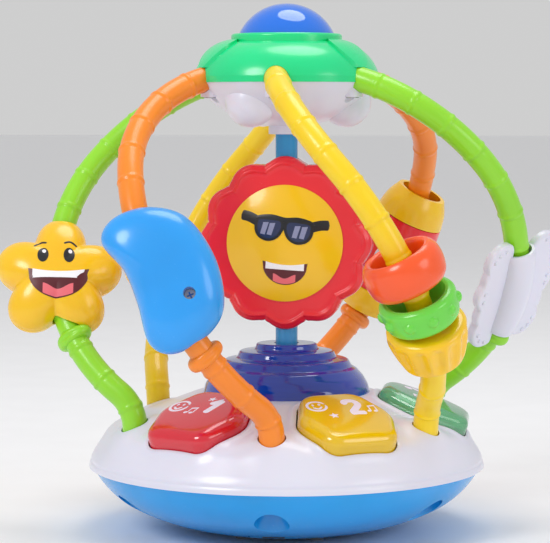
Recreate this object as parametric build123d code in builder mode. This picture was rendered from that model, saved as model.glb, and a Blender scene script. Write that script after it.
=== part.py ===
"""Baby activity ball: a bowl-shaped musical base, six twisted arches and a top hub.

Frame: origin on the resting surface under the middle of the base, +Z up, the sun's face towards -Y.
Arch k leaves the hub at 60*k degrees from -Y and lands on the deck 61 degrees further round.
"""

from build123d import *
from math import atan2, cos, degrees, radians, sin
import os

os.makedirs("parts", exist_ok=True)

# ---------------------------------------------------------------- driving dimensions (mm, degrees)
wall = 2.2                      # shells of the base and the hub
gap = 0.3                       # running gap between a moving piece and its neighbour
fit = 0.1                       # radial clearance of a peg or a screw in its hole
arch_count = 6
arch_pitch = 360 / arch_count

foot_pad_height = 0.8           # rubber pads under the bowl
bowl_flat_radius = 29.0         # flat middle of the bowl
bowl_knee_radius, bowl_knee_height = 66.0, 11.0
part_radius, part_height = 81.6, 26.9          # parting line of the base

rim_radius = 83.4               # widest line of the deck
rim_band = 3.2                  # height of the rim's upright band
shoulder_radius, shoulder_height = 74.5, 43.6
deck_top_radius, deck_top_height = 37.0, 58.0

dome_skirt_radius = 35.5        # see-through stepped dome on the deck
dome_pocket_radius = 33.6
dome_terraces = [(13.0, 78.6), (20.5, 75.2), (26.5, 71.6)]     # radius and top of each step
dome_skirt_top = 68.4

tube_radius = 5.15              # arches
band_radius, band_length = 5.65, 2.6
band_spacing = 17.0             # joint bands along an arch
collar_radius, collar_length = 8.8, 5.6
collar_angle = 62.5             # collar's place on the belly arc, from the belly's top end
peg_length, leg_length = 7.0, 9.0

hub_radius, hub_height = 38.8, 187.5           # rim and parting line of the top hub
hub_neck_radius, hub_neck_bottom = 7.5, 166.0
cap_collar_radius, cap_collar_height = 23.2, 3.4
cap_top = 207.8
ball_radius, ball_centre = 22.0, 198.5

belly_top = (84.8, 19.5, 153.9)     # radius, degrees after the arch's top, height
belly_bottom = (74.0, 57.2, 60.2)
foot_radius, foot_turn, foot_height = 68.7, 61.2, 46.4
arch_start_dir = (0.949, 0.162, -0.272)

post_radius, post_bore = 4.65, 2.6
sun_height = 120.6
sun_radius, sun_scallops, scallop_depth = 36.7, 12, 3.8
sun_thickness = 16.0
sun_face_radius, sun_face_rise = 24.4, 5.0

button_angles = {"red": -30.0, "yellow": 30.0, "green": 90.0}   # from the front, to the right
button_inner, button_outer = 40.0, 75.5        # radial reach of a button
button_half_width = 20.5
button_rise = 6.0               # crown above the deck
button_travel = 3.0
button_wall = 2.0

slider_wall = 2.0
bore_radius = band_radius + 0.8     # every slider's way through, round the belly arc

screw_radius, screw_head_radius, screw_head_height = 1.5, 3.0, 2.2
well_radius, well_wall = 7.0, 2.0


# ---------------------------------------------------------------- helpers
def polar(radius, angle, height=0.0):
    """Point at a radius, an angle from +X and a height."""
    return Vector(radius * cos(radians(angle)), radius * sin(radians(angle)), height)


def screws(places, length, head_up=False):
    """Pan-head screws as separate solids, heads down unless head_up, head's bearing face at each place."""
    side = 1 if head_up else -1
    with BuildPart() as group:
        for place in places:
            with Locations(place):
                Cylinder(screw_radius, length, align=(Align.CENTER, Align.CENTER, Align.MAX if head_up else Align.MIN))
                Cylinder(screw_head_radius, screw_head_height,
                         align=(Align.CENTER, Align.CENTER, Align.MIN if head_up else Align.MAX))
            with Locations(place * Pos(0, 0, side * screw_head_height)):
                Box(screw_head_radius * 1.2, 0.8, 1.6, mode=Mode.SUBTRACT)
                Box(0.8, screw_head_radius * 1.2, 1.6, mode=Mode.SUBTRACT)
    return group.part


# ---------------------------------------------------------------- the arch's line and its frames
# Three tangent arcs in space, with a straight peg into the hub and a straight leg into the deck.
hub_exit = Vector(hub_radius - 0.8, 0, hub_height + 0.9)
start_dir = Vector(*arch_start_dir).normalized()
with BuildLine() as arch_line:
    peg = Line(hub_exit - start_dir * peg_length, hub_exit)
    top_bend = TangentArc(hub_exit, polar(*belly_top), tangent=start_dir)
    belly = TangentArc(top_bend @ 1, polar(*belly_bottom), tangent=top_bend % 1)
    foot_bend = TangentArc(belly @ 1, polar(foot_radius, foot_turn, foot_height), tangent=belly % 1)
    leg = Line(foot_bend @ 1, (foot_bend @ 1) + (foot_bend % 1) * leg_length)

belly_radius = belly.radius
belly_centre = belly.arc_center
belly_span = degrees(belly.length / belly_radius)
stop_angle = collar_angle - degrees(collar_length / 2 / belly_radius) - 0.15   # just above an arch's collar
belly_normal = (belly % 0).cross(belly_centre - (belly @ 0)).normalized()


def slider_plane(arch, along, turn):
    """Plane on an arch's belly: Z up the tube, -Y towards the slider's face, turned about the tube."""
    share = along / belly_span
    point, down = belly @ share, belly % share
    outward = (point - belly_centre).normalized()
    x_dir = belly_normal * cos(radians(turn)) - outward * sin(radians(turn))
    spin = -90 + arch * arch_pitch
    return Plane(origin=point.rotate(Axis.Z, spin), x_dir=x_dir.rotate(Axis.Z, spin),
                 z_dir=(-down).rotate(Axis.Z, spin))


def swept_tube(line, radius):
    """Round bar along a line."""
    with BuildPart() as bar:
        with BuildLine() as path:
            add(line)
        with BuildSketch(Plane(origin=path.line @ 0, z_dir=path.line % 0)):
            Circle(radius)
        sweep(path=path.wires()[0])
    return bar.part


with BuildPart() as arch_master:
    add(swept_tube(arch_line.line, tube_radius))
    for stretch in (top_bend, belly, foot_bend):
        count = max(1, round(stretch.length / band_spacing))
        for step in range(count):
            share = (step + 0.5) / count
            with BuildSketch(Plane(origin=stretch @ share, z_dir=stretch % share)):
                Circle(band_radius)
            extrude(amount=band_length / 2, both=True)
    collar_share = collar_angle / belly_span
    with BuildSketch(Plane(origin=belly @ collar_share, z_dir=belly % collar_share)):
        Circle(collar_radius)
    extrude(amount=collar_length / 2, both=True)
    fillet(arch_master.edges().filter_by(GeomType.CIRCLE).filter_by(
        lambda edge: abs(edge.radius - collar_radius) < 0.01), collar_length / 2 - 0.4)

hub_screw_inset = 4.5            # from the hub's edge inwards, along the peg
hub_screw_point = hub_exit - start_dir * hub_screw_inset
leg_bottom = (leg @ 1).Z
with BuildPart() as drilled_arch:
    add(arch_master.part)
    # Pilot holes for the hub screw and the base screw, both from below.
    with Locations((hub_screw_point.X, hub_screw_point.Y, hub_screw_point.Z)):
        Cylinder(screw_radius, 2 * tube_radius, align=(Align.CENTER, Align.CENTER, Align.MAX), mode=Mode.SUBTRACT)
    with Locations(polar(foot_radius, foot_turn, leg_bottom - 1)):
        Cylinder(screw_radius, leg_length, align=(Align.CENTER, Align.CENTER, Align.MIN), mode=Mode.SUBTRACT)

arch_names = ["arch_front", "arch_front_right", "arch_back_right", "arch_back", "arch_back_left",
              "arch_front_left"]
for index, name in enumerate(arch_names):
    with BuildPart() as arch:
        add(drilled_arch.part, rotation=(0, 0, -90 + index * arch_pitch))
    arch.part.label = name
    export_step(arch.part, f"parts/{name}.step")

# Cutters that give every arch its seat in the shells and every slider its curved bore.
seat_tool = swept_tube(arch_line.line, tube_radius + fit)
bore_tool = swept_tube(belly, bore_radius)
with BuildLine() as collar_line:
    ThreePointArc(belly @ ((stop_angle - 0.3) / belly_span), belly @ ((stop_angle / belly_span + 1) / 2), belly @ 1)
collar_tool = swept_tube(collar_line.line, collar_radius + 0.6)


def six(tool):
    """Copies of a cutter at the six arches."""
    return [tool.rotate(Axis.Z, -90 + index * arch_pitch) for index in range(arch_count)]


foot_places = [polar(foot_radius, -90 + foot_turn + index * arch_pitch) for index in range(arch_count)]
well_roof = leg_bottom - 2 * wall - 0.2         # underside of each screw well's roof

# ---------------------------------------------------------------- lower shell
def bowl(inset):
    """Solid bowl, inset from the outside by a wall, open end at the parting line."""
    with BuildPart() as body:
        with BuildSketch(Plane.XZ):
            with BuildLine():
                floor = Line((0, foot_pad_height + inset), (bowl_flat_radius, foot_pad_height + inset))
                knee = TangentArc(floor @ 1, (bowl_knee_radius - 0.45 * inset, bowl_knee_height + 0.9 * inset),
                                  tangent=(1, 0.05))
                side = TangentArc(knee @ 1, (part_radius - inset, part_height), tangent=knee % 1)
                Line(side @ 1, (0, part_height))
                Line((0, part_height), floor @ 0)
            make_face()
        revolve(axis=Axis.Z)
    return body.part


bay_length, bay_width, bay_height = 52.0, 44.0, 17.5     # inside the battery bay
door_length, door_width, door_thickness = 56.0, 46.0, 2.0
door_bottom = foot_pad_height + 0.6
bay_floor = door_bottom + door_thickness
switch_place = (0.0, -47.0)
switch_slot_length, switch_slot_width = 15.0, 5.0
switch_pocket_height = 8.0
speaker_reach = 50.0                            # from the axis, midway between two wells
speaker_radius, speaker_height, speaker_seat = 14.0, 9.0, 17.0
speaker_recess = 4.0
grille_hole_radius = 1.3
board_length, board_width, board_thickness = 62.0, 42.0, 1.6
board_peg_radius, board_peg_height = 2.6, 3.0
board_pegs = [(x * 25, y * 17) for x in (-1, 1) for y in (-1, 1)]
bay_top = bay_floor + bay_height + wall
board_bottom = bay_top + board_peg_height
door_tab_length, door_tab_width, door_tab_thickness = 12.0, 9.0, 4.0
door_screw_place = (0.0, -(door_width / 2 + 4.5))
speaker_spin = -90 + foot_turn + 2.5 * arch_pitch
speaker_place = tuple(polar(speaker_reach, speaker_spin))[:2]

with BuildPart() as bowl_mould:
    Cylinder(2 * part_radius, part_height, align=(Align.CENTER, Align.CENTER, Align.MIN))
    add(bowl(0), mode=Mode.SUBTRACT)
below_bowl = bowl_mould.part

with BuildPart() as lower_shell:
    add(bowl(0))
    add(bowl(wall), mode=Mode.SUBTRACT)
    # Battery bay: a box with a roof, open downwards.
    with Locations((0, 0, foot_pad_height)):
        Box(bay_length + 2 * wall, bay_width + 2 * wall, bay_top - foot_pad_height,
            align=(Align.CENTER, Align.CENTER, Align.MIN))
    with Locations([(x, y, bay_top) for x, y in board_pegs]):
        Cylinder(board_peg_radius, board_peg_height, align=(Align.CENTER, Align.CENTER, Align.MIN))
    # Screw wells under the arch feet.
    with Locations([Pos(p.X, p.Y, foot_pad_height) for p in foot_places]):
        Cylinder(well_radius + well_wall, well_roof + wall - foot_pad_height,
                 align=(Align.CENTER, Align.CENTER, Align.MIN))
    # Speaker seat and switch pocket.
    with Locations((*speaker_place, foot_pad_height)):
        Cylinder(speaker_radius + wall, speaker_seat - foot_pad_height,
                 align=(Align.CENTER, Align.CENTER, Align.MIN))
    with Locations((*switch_place, foot_pad_height)):
        Box(switch_slot_length + 12, switch_slot_width + 10, switch_pocket_height + wall,
            align=(Align.CENTER, Align.CENTER, Align.MIN))
    # Door screw boss beside the bay.
    with Locations((*door_screw_place, foot_pad_height)):
        Cylinder(5.0, door_bottom + door_tab_thickness + 8, align=(Align.CENTER, Align.CENTER, Align.MIN))
    add(below_bowl, mode=Mode.SUBTRACT)
    with Locations((0, 0, 0)):
        Box(bay_length, bay_width, bay_floor + bay_height, align=(Align.CENTER, Align.CENTER, Align.MIN),
            mode=Mode.SUBTRACT)
        Box(door_length + 2 * gap, door_width + 2 * gap, bay_floor,
            align=(Align.CENTER, Align.CENTER, Align.MIN), mode=Mode.SUBTRACT)
    with Locations((*door_screw_place, 0)):
        Box(door_tab_length + 2 * gap, door_tab_width + 2 * gap, door_bottom + door_tab_thickness + gap,
            align=(Align.CENTER, Align.CENTER, Align.MIN), mode=Mode.SUBTRACT)
        Cylinder(screw_radius, door_bottom + door_tab_thickness + 7,
                 align=(Align.CENTER, Align.CENTER, Align.MIN), mode=Mode.SUBTRACT)
    with Locations([Pos(p.X, p.Y, 0) for p in foot_places]):
        Cylinder(well_radius, well_roof, align=(Align.CENTER, Align.CENTER, Align.MIN), mode=Mode.SUBTRACT)
        Cylinder(screw_radius + fit, part_height + shoulder_height,
                 align=(Align.CENTER, Align.CENTER, Align.MIN), mode=Mode.SUBTRACT)
    # Speaker cavity and grille.
    with Locations((*speaker_place, speaker_seat - speaker_recess)):
        Cylinder(speaker_radius - wall, speaker_height, align=(Align.CENTER, Align.CENTER, Align.MIN),
                 mode=Mode.SUBTRACT)
    with Locations((*speaker_place, 0)):
        Cylinder(grille_hole_radius, 2 * speaker_seat, mode=Mode.SUBTRACT)
        for ring, holes in ((4.5, 6), (9.0, 12)):
            with PolarLocations(ring, holes):
                Cylinder(grille_hole_radius, 2 * speaker_seat, mode=Mode.SUBTRACT)
    # Switch pocket from below, its slot from above.
    with Locations((*switch_place, 0)):
        Box(switch_slot_length + 6, switch_slot_width + 4, switch_pocket_height,
            align=(Align.CENTER, Align.CENTER, Align.MIN), mode=Mode.SUBTRACT)
        Box(switch_slot_length, switch_slot_width, part_height,
            align=(Align.CENTER, Align.CENTER, Align.MIN), mode=Mode.SUBTRACT)
lower_shell.part.label = "lower_shell"
export_step(lower_shell.part, "parts/lower_shell.step")

# ---------------------------------------------------------------- deck shell
deck_slope = degrees(atan2(deck_top_height - shoulder_height, shoulder_radius - deck_top_radius))
pocket_floor = deck_top_height - 8.0
post_foot = pocket_floor - 5.0
shoulder_fillet = 9.0
boss_height, boss_radius, boss_top_radius = 1.6, 15.0, 8.4
light_board_lift = 2.0


def deck_body(inset):
    """Solid of the deck's outer form, drawn in by a wall."""
    with BuildPart() as body:
        with BuildSketch(Plane.XZ) as section:
            with BuildLine():
                Polyline((0, part_height), (rim_radius - inset, part_height),
                         (rim_radius - inset, part_height + rim_band),
                         (shoulder_radius - 0.7 * inset, shoulder_height - 0.8 * inset),
                         (deck_top_radius, deck_top_height - inset), (0, deck_top_height - inset), close=True)
            make_face()
            shoulder = section.vertices().sort_by_distance((shoulder_radius, shoulder_height, 0))[0]
            fillet(shoulder, shoulder_fillet - inset)
        revolve(axis=Axis.Z)
    return body.part


def button_plane(angle):
    """Plane on the sloping deck at a button: Z out of the deck, X down the slope."""
    middle = (button_inner + button_outer) / 2
    height = deck_top_height - (middle - deck_top_radius) * (deck_top_height - shoulder_height) / (
        shoulder_radius - deck_top_radius)
    spin, tilt = -90 + angle, radians(deck_slope)
    out = polar(1, spin)
    return Plane(origin=polar(middle, spin, height), x_dir=out * cos(tilt) - Vector(0, 0, sin(tilt)),
                 z_dir=out * sin(tilt) + Vector(0, 0, cos(tilt)))


button_half_length = (button_outer - button_inner) / 2 / cos(radians(deck_slope))
button_corner = 7.0


def button_outline(grow):
    """Face of a button: six-sided, widest in the middle, corners rounded."""
    with BuildSketch() as face:
        with BuildLine():
            Polyline((-button_half_length, -12), (0, -button_half_width), (button_half_length, -14),
                     (button_half_length, 14), (0, button_half_width), (-button_half_length, 12), close=True)
        make_face()
        fillet(face.vertices(), button_corner)
        offset(amount=grow)
    return face.sketch


board_post_spread = 20.7
board_post_x = -9.0
switch_board_depth = 14.8       # below the deck's face, along the button's axis
with BuildPart() as deck_shell:
    add(deck_body(0))
    with Locations([Pos(p.X, p.Y, foot_height + boss_height) for p in foot_places]):
        Cone(boss_radius, boss_top_radius, boss_radius - boss_top_radius,
             align=(Align.CENTER, Align.CENTER, Align.MAX))
    add(deck_body(wall), mode=Mode.SUBTRACT)
    with Locations([Pos(p.X, p.Y, leg_bottom - wall - 0.2) for p in foot_places]):
        Cylinder(tube_radius + fit + wall, foot_height - 1 - leg_bottom + wall,
                 align=(Align.CENTER, Align.CENTER, Align.MIN))
    with Locations((0, 0, pocket_floor)):
        Cylinder(dome_pocket_radius + wall, deck_top_height - pocket_floor - 0.5,
                 align=(Align.CENTER, Align.CENTER, Align.MIN))
    with Locations((0, 0, pocket_floor + wall)):
        Cylinder(dome_pocket_radius, deck_top_height, align=(Align.CENTER, Align.CENTER, Align.MIN),
                 mode=Mode.SUBTRACT)
    with PolarLocations(dome_pocket_radius - 8, 3):
        with Locations((0, 0, pocket_floor)):
            Cylinder(2.5, wall + light_board_lift, align=(Align.CENTER, Align.CENTER, Align.MIN))
    with Locations((0, 0, post_foot - wall)):
        Cylinder(post_radius + fit + wall, pocket_floor + wall + 1 - post_foot + wall,
                 align=(Align.CENTER, Align.CENTER, Align.MIN))
    with Locations((0, 0, post_foot)):
        Cylinder(post_radius + fit, deck_top_height, align=(Align.CENTER, Align.CENTER, Align.MIN),
                 mode=Mode.SUBTRACT)
    Cylinder(screw_radius + fit, deck_top_height, align=(Align.CENTER, Align.CENTER, Align.MIN),
             mode=Mode.SUBTRACT)
    for angle in button_angles.values():
        plane = button_plane(angle)
        with Locations(plane * Pos(board_post_x, board_post_spread, -wall / 2),
                       plane * Pos(board_post_x, -board_post_spread, -wall / 2)):
            Cylinder(2.2, switch_board_depth - wall / 2 - 1.6, align=(Align.CENTER, Align.CENTER, Align.MAX))
        with BuildSketch(plane):
            add(button_outline(gap))
        extrude(amount=8, both=True, mode=Mode.SUBTRACT)
    for tool in six(seat_tool):
        add(tool, mode=Mode.SUBTRACT)
    with Locations([Pos(p.X, p.Y, leg_bottom) for p in foot_places]):
        Cylinder(tube_radius, 0.4, mode=Mode.SUBTRACT)
        Cylinder(screw_radius + fit, 4 * wall, mode=Mode.SUBTRACT)
deck_shell.part.label = "deck_shell"
export_step(deck_shell.part, "parts/deck_shell.step")

# ---------------------------------------------------------------- buttons and what they press
stem_radius, stem_reach = 3.0, 8.0
# The deck is a cone, so under a button's side corners it lies deeper than in the middle.
button_middle = (button_inner + button_outer) / 2
side_sag = ((button_middle ** 2 + button_half_width ** 2) ** 0.5 - button_middle) * sin(radians(deck_slope))
catch_depth = wall + side_sag + gap
for colour, angle in button_angles.items():
    plane = button_plane(angle)
    with BuildPart() as button:
        with BuildSketch(plane.offset(-7)):
            add(button_outline(0))
        extrude(amount=7 + button_rise)
        fillet(button.faces().sort_by(Axis(plane.origin, plane.z_dir))[-1].edges(), 3.2)
        with BuildSketch(plane.offset(-7)):
            add(button_outline(-button_wall))
        extrude(amount=7 + button_rise - button_wall, mode=Mode.SUBTRACT)
        with BuildSketch(plane.offset(-stem_reach)):
            Circle(stem_radius)
        extrude(amount=stem_reach + button_rise - button_wall / 2)
        with Locations(plane * Pos(0, button_half_width - 1, -catch_depth),
                       plane * Pos(0, 1 - button_half_width, -catch_depth)):
            Box(8, 3.4, 1.6, align=(Align.CENTER, Align.CENTER, Align.MAX))
    button.part.label = f"button_{colour}"
    export_step(button.part, f"parts/button_{colour}.step")

with BuildPart() as button_boards:
    for angle in button_angles.values():
        plane = button_plane(angle)
        with Locations(plane * Pos(-2, 0, -switch_board_depth + 1.6)):
            Box(20, 2 * board_post_spread + 4.4, 1.6, align=(Align.CENTER, Align.CENTER, Align.MAX))
button_boards.part.label = "button_boards"
export_step(button_boards.part, "parts/button_boards.step")

with BuildPart() as button_pads:
    for angle in button_angles.values():
        with Locations(button_plane(angle) * Pos(0, 0, -switch_board_depth + 1.6)):
            Cone(4.5, 3.0, switch_board_depth - 1.6 - stem_reach - button_travel - fit,
                 align=(Align.CENTER, Align.CENTER, Align.MIN))
button_pads.part.label = "button_pads"
export_step(button_pads.part, "parts/button_pads.step")

# ---------------------------------------------------------------- see-through stepped dome and its light board
dome_wall = 2.0


def dome_body(inset):
    """Solid of the stepped dome, drawn in by a wall."""
    steps = [(0, dome_terraces[0][1] - inset)]
    for (radius, top), lower in zip(dome_terraces, [top for _, top in dome_terraces[1:]] + [dome_skirt_top]):
        steps += [(radius - inset, top - inset), (radius - inset, lower - inset)]
    with BuildPart() as body:
        with BuildSketch(Plane.XZ):
            with BuildLine():
                Polyline(*steps, (dome_terraces[-1][0] + 1.5 - inset, dome_skirt_top - inset))
                ThreePointArc((dome_terraces[-1][0] + 1.5 - inset, dome_skirt_top - inset),
                              (dome_skirt_radius - 2.6 - inset, dome_skirt_top - 4.2 - inset),
                              (dome_skirt_radius - inset, deck_top_height))
                Polyline((dome_skirt_radius - inset, deck_top_height), (0, deck_top_height), steps[0])
            make_face()
        revolve(axis=Axis.Z)
    return body.part


with BuildPart() as light_dome:
    add(dome_body(0))
    with Locations((0, 0, deck_top_height)):
        Cylinder(dome_pocket_radius - fit, 3, align=(Align.CENTER, Align.CENTER, Align.MAX))
    add(dome_body(dome_wall), mode=Mode.SUBTRACT)
    with Locations((0, 0, deck_top_height)):
        Cylinder(dome_skirt_radius - 0.5, 1.5, align=(Align.CENTER, Align.CENTER, Align.MIN))
        Cylinder(dome_pocket_radius - fit - dome_wall, 6, mode=Mode.SUBTRACT)
    Cylinder(post_radius + fit, hub_height, align=(Align.CENTER, Align.CENTER, Align.MIN), mode=Mode.SUBTRACT)
light_dome.part.label = "light_dome"
export_step(light_dome.part, "parts/light_dome.step")

light_board_top = pocket_floor + wall + light_board_lift + board_thickness
with BuildPart() as light_board:
    with Locations((0, 0, light_board_top)):
        Cylinder(dome_pocket_radius - 3, board_thickness, align=(Align.CENTER, Align.CENTER, Align.MAX))
        Cylinder(post_radius + fit + wall + 1, 4 * board_thickness, mode=Mode.SUBTRACT)
light_board.part.label = "light_board"
export_step(light_board.part, "parts/light_board.step")

with BuildPart() as light_leds:
    with PolarLocations(19, 5):
        with Locations((0, 0, light_board_top)):
            Cylinder(2.5, 4, align=(Align.CENTER, Align.CENTER, Align.MIN))
        with Locations((0, 0, light_board_top + 4)):
            Sphere(2.5)
light_leds.part.label = "light_leds"
export_step(light_leds.part, "parts/light_leds.step")

# ---------------------------------------------------------------- post
post_top = hub_neck_bottom + 4.5
post_ring_radius, post_ring_height = 6.9, 3.0
with BuildPart() as post:
    with Locations((0, 0, post_foot)):
        Cylinder(post_radius, post_top - post_foot, align=(Align.CENTER, Align.CENTER, Align.MIN))
        Cylinder(post_bore, post_top - post_foot, align=(Align.CENTER, Align.CENTER, Align.MIN),
                 mode=Mode.SUBTRACT)
    with Locations((0, 0, post_foot), (0, 0, post_top - 8)):
        Cylinder(post_bore, 8, align=(Align.CENTER, Align.CENTER, Align.MIN))
    with Locations((0, 0, sun_height)):
        Cylinder(post_ring_radius, post_ring_height)
        Cylinder(post_bore, post_ring_height, mode=Mode.SUBTRACT)
    with Locations((0, 0, post_foot + 3), (0, 0, post_top - 3)):
        Cylinder(screw_radius, 6, mode=Mode.SUBTRACT)
post.part.label = "post"
export_step(post.part, "parts/post.step")

# ---------------------------------------------------------------- top hub
lobe_radius, lobe_reach, lobe_height = 10.5, 25.0, 179.4
hub_screw_seat = 183.2


def hub_bowl(inset):
    """Solid of the hub's white underside with three round lobes, drawn in by a wall."""
    with BuildPart() as body:
        with BuildSketch(Plane.XZ):
            with BuildLine():
                Line((0, hub_neck_bottom + 3.5 + inset), (hub_neck_radius - 0.3 * inset, hub_neck_bottom + 3.5 + inset))
                ThreePointArc((hub_neck_radius - 0.3 * inset, hub_neck_bottom + 3.5 + inset),
                              (24 - 0.6 * inset, 174.5 + 0.9 * inset), (hub_radius - 0.3 - inset, hub_height))
                Polyline((hub_radius - 0.3 - inset, hub_height), (0, hub_height),
                         (0, hub_neck_bottom + 3.5 + inset))
            make_face()
        revolve(axis=Axis.Z)
        with PolarLocations(lobe_reach, 3):
            with Locations((0, 0, lobe_height)):
                Sphere(lobe_radius - inset)
        with Locations((0, 0, hub_height)):
            Cylinder(hub_radius, hub_radius, align=(Align.CENTER, Align.CENTER, Align.MIN), mode=Mode.SUBTRACT)
    return body.part


with BuildPart() as hub_lower:
    add(hub_bowl(0))
    add(hub_bowl(wall), mode=Mode.SUBTRACT)
    with Locations((0, 0, hub_neck_bottom)):
        Cylinder(hub_neck_radius, post_top + 2 - hub_neck_bottom, align=(Align.CENTER, Align.CENTER, Align.MIN))
        Cylinder(post_radius + fit, post_top - hub_neck_bottom, align=(Align.CENTER, Align.CENTER, Align.MIN),
                 mode=Mode.SUBTRACT)
        Cylinder(screw_radius + fit, 8, align=(Align.CENTER, Align.CENTER, Align.MIN), mode=Mode.SUBTRACT)
    with PolarLocations(hub_screw_point.X, arch_count, start_angle=-90):
        with Locations((0, hub_screw_point.Y, hub_screw_seat - 1.8)):
            Cylinder(4.4, hub_height - hub_screw_seat + 1.8, align=(Align.CENTER, Align.CENTER, Align.MIN))
        with Locations((0, hub_screw_point.Y, hub_screw_seat)):
            Cylinder(screw_head_radius + fit, 12, align=(Align.CENTER, Align.CENTER, Align.MAX),
                     mode=Mode.SUBTRACT)
            Cylinder(screw_radius + fit, 8, mode=Mode.SUBTRACT)
    for tool in six(seat_tool):
        add(tool, mode=Mode.SUBTRACT)
hub_lower.part.label = "hub_lower"
export_step(hub_lower.part, "parts/hub_lower.step")

cap_band = 2.6


def cap_body(inset):
    """Solid of the hub's green cap without its collar, drawn in by a wall."""
    with BuildPart() as body:
        with BuildSketch(Plane.XZ):
            with BuildLine():
                Polyline((0, hub_height), (hub_radius - inset, hub_height), (hub_radius - inset, hub_height + cap_band))
                ThreePointArc((hub_radius - inset, hub_height + cap_band),
                              (34.6 - 0.75 * inset, 198.3 - 0.7 * inset),
                              (cap_collar_radius, cap_top - cap_collar_height - inset))
                Polyline((cap_collar_radius, cap_top - cap_collar_height - inset),
                         (0, cap_top - cap_collar_height - inset), (0, hub_height))
            make_face()
        revolve(axis=Axis.Z)
    return body.part


pad_rise, pad_reach, pad_radius = 1.1, 31.0, 8.0
with BuildPart() as cap_pads:
    add(cap_body(-pad_rise))
    with BuildPart(mode=Mode.INTERSECT):
        with PolarLocations(pad_reach, 3, start_angle=90):
            with Locations((0, 0, hub_height + 6)):
                Cylinder(pad_radius, 30, align=(Align.CENTER, Align.CENTER, Align.MIN))

with BuildPart() as hub_cap:
    add(cap_body(0))
    add(cap_pads.part)
    with Locations((0, 0, cap_top)):
        Cylinder(cap_collar_radius, cap_collar_height + 2, align=(Align.CENTER, Align.CENTER, Align.MAX))
    fillet(hub_cap.faces().sort_by(Axis.Z)[-1].edges(), 1.2)
    add(cap_body(wall), mode=Mode.SUBTRACT)
    with Locations((0, 0, ball_centre)):
        Sphere(ball_radius + gap, mode=Mode.SUBTRACT)
    for tool in six(seat_tool):
        add(tool, mode=Mode.SUBTRACT)
hub_cap.part.label = "hub_cap"
export_step(hub_cap.part, "parts/hub_cap.step")

with BuildPart() as ball:
    with Locations((0, 0, ball_centre)):
        Sphere(ball_radius)
        Sphere(ball_radius - 2, mode=Mode.SUBTRACT)
ball.part.label = "ball"
export_step(ball.part, "parts/ball.step")

cup_foot_radius, cup_wall = 13.5, 1.8
with BuildPart() as ball_cup:
    with Locations((0, 0, ball_centre)):
        Sphere(ball_radius + gap + cup_wall)
    with Locations((0, 0, hub_height + 1)):
        Cylinder(2 * ball_radius, 2 * ball_radius, align=(Align.CENTER, Align.CENTER, Align.MIN),
                 mode=Mode.SUBTRACT)
    with Locations((0, 0, 0)):
        Cylinder(2 * ball_radius, 178.5, align=(Align.CENTER, Align.CENTER, Align.MIN), mode=Mode.SUBTRACT)
    with Locations((0, 0, hub_neck_bottom)):
        Cylinder(cup_foot_radius, 16, align=(Align.CENTER, Align.CENTER, Align.MIN))
        Cylinder(cup_foot_radius - cup_wall, 16, align=(Align.CENTER, Align.CENTER, Align.MIN), mode=Mode.SUBTRACT)
    with Locations((0, 0, ball_centre)):
        Sphere(ball_radius + gap, mode=Mode.SUBTRACT)
    with BuildPart(mode=Mode.INTERSECT):
        add(hub_bowl(wall))
        with Locations((0, 0, hub_height)):
            Cylinder(ball_radius + 5, 2, align=(Align.CENTER, Align.CENTER, Align.MIN))
ball_cup.part.label = "ball_cup"
export_step(ball_cup.part, "parts/ball_cup.step")

# ---------------------------------------------------------------- sun on the post
sun_wall, sun_rib = 2.0, 2.0
scallop_radius = 8.6


with BuildSketch() as sun_outline:
    Circle(sun_radius - scallop_depth - 3)
    with PolarLocations(sun_radius - scallop_radius, sun_scallops, start_angle=360 / sun_scallops / 2):
        Circle(scallop_radius)
    fillet([v for v in sun_outline.vertices() if v.center().length < sun_radius - scallop_depth], 2.5)


for name, side in (("sun_front_disc", 1), ("sun_back_disc", -1)):
    face_plane = Plane(origin=(0, 0, sun_height), x_dir=(side, 0, 0), z_dir=(0, -side, 0))
    with BuildPart() as disc:
        with BuildSketch(face_plane):
            add(sun_outline.sketch)
        extrude(amount=sun_thickness / 2)
        fillet(disc.faces().sort_by(Axis(face_plane.origin, face_plane.z_dir))[-1].edges(), 2.0)
        with BuildSketch(face_plane):
            Circle(sun_radius - scallop_depth - sun_wall)
        extrude(amount=sun_thickness / 2 - sun_wall, mode=Mode.SUBTRACT)
        # Ribs above and below the post's ring keep the sun at its height.
        rib_lift = post_ring_height / 2 + gap
        with Locations(face_plane * Pos(0, rib_lift + sun_rib / 2, 0), face_plane * Pos(0, -rib_lift - sun_rib / 2, 0)):
            Box(24, sun_rib, sun_thickness / 2 - sun_wall / 2, align=(Align.CENTER, Align.CENTER, Align.MIN))
        with Locations((0, 0, sun_height)):
            Cylinder(post_radius + gap, 3 * sun_radius, mode=Mode.SUBTRACT)
            Cylinder(post_ring_radius + gap, post_ring_height + 2 * gap, mode=Mode.SUBTRACT)
    disc.part.label = name
    export_step(disc.part, f"parts/{name}.step")

face_ball = (sun_face_radius ** 2 + sun_face_rise ** 2) / (2 * sun_face_rise)
for name, side in (("sun_face_front", 1), ("sun_face_back", -1)):
    face_plane = Plane(origin=(0, -side * sun_thickness / 2, sun_height), x_dir=(side, 0, 0), z_dir=(0, -side, 0))
    with BuildPart() as face:
        with Locations(face_plane * Pos(0, 0, sun_face_rise - face_ball)):
            Sphere(face_ball)
            Sphere(face_ball - 1.6, mode=Mode.SUBTRACT)
        split(bisect_by=face_plane, keep=Keep.TOP)
    face.part.label = name
    export_step(face.part, f"parts/{name}.step")

# ---------------------------------------------------------------- sliders
mm_per_degree = belly_radius * radians(1)


def above_stop(length, reach=0.0):
    """Belly angle of a point this far up the tube, clear of the collar by its flat end's reach."""
    lift = reach * sin(length / belly_radius)
    return stop_angle - (length + lift) / mm_per_degree


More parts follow.
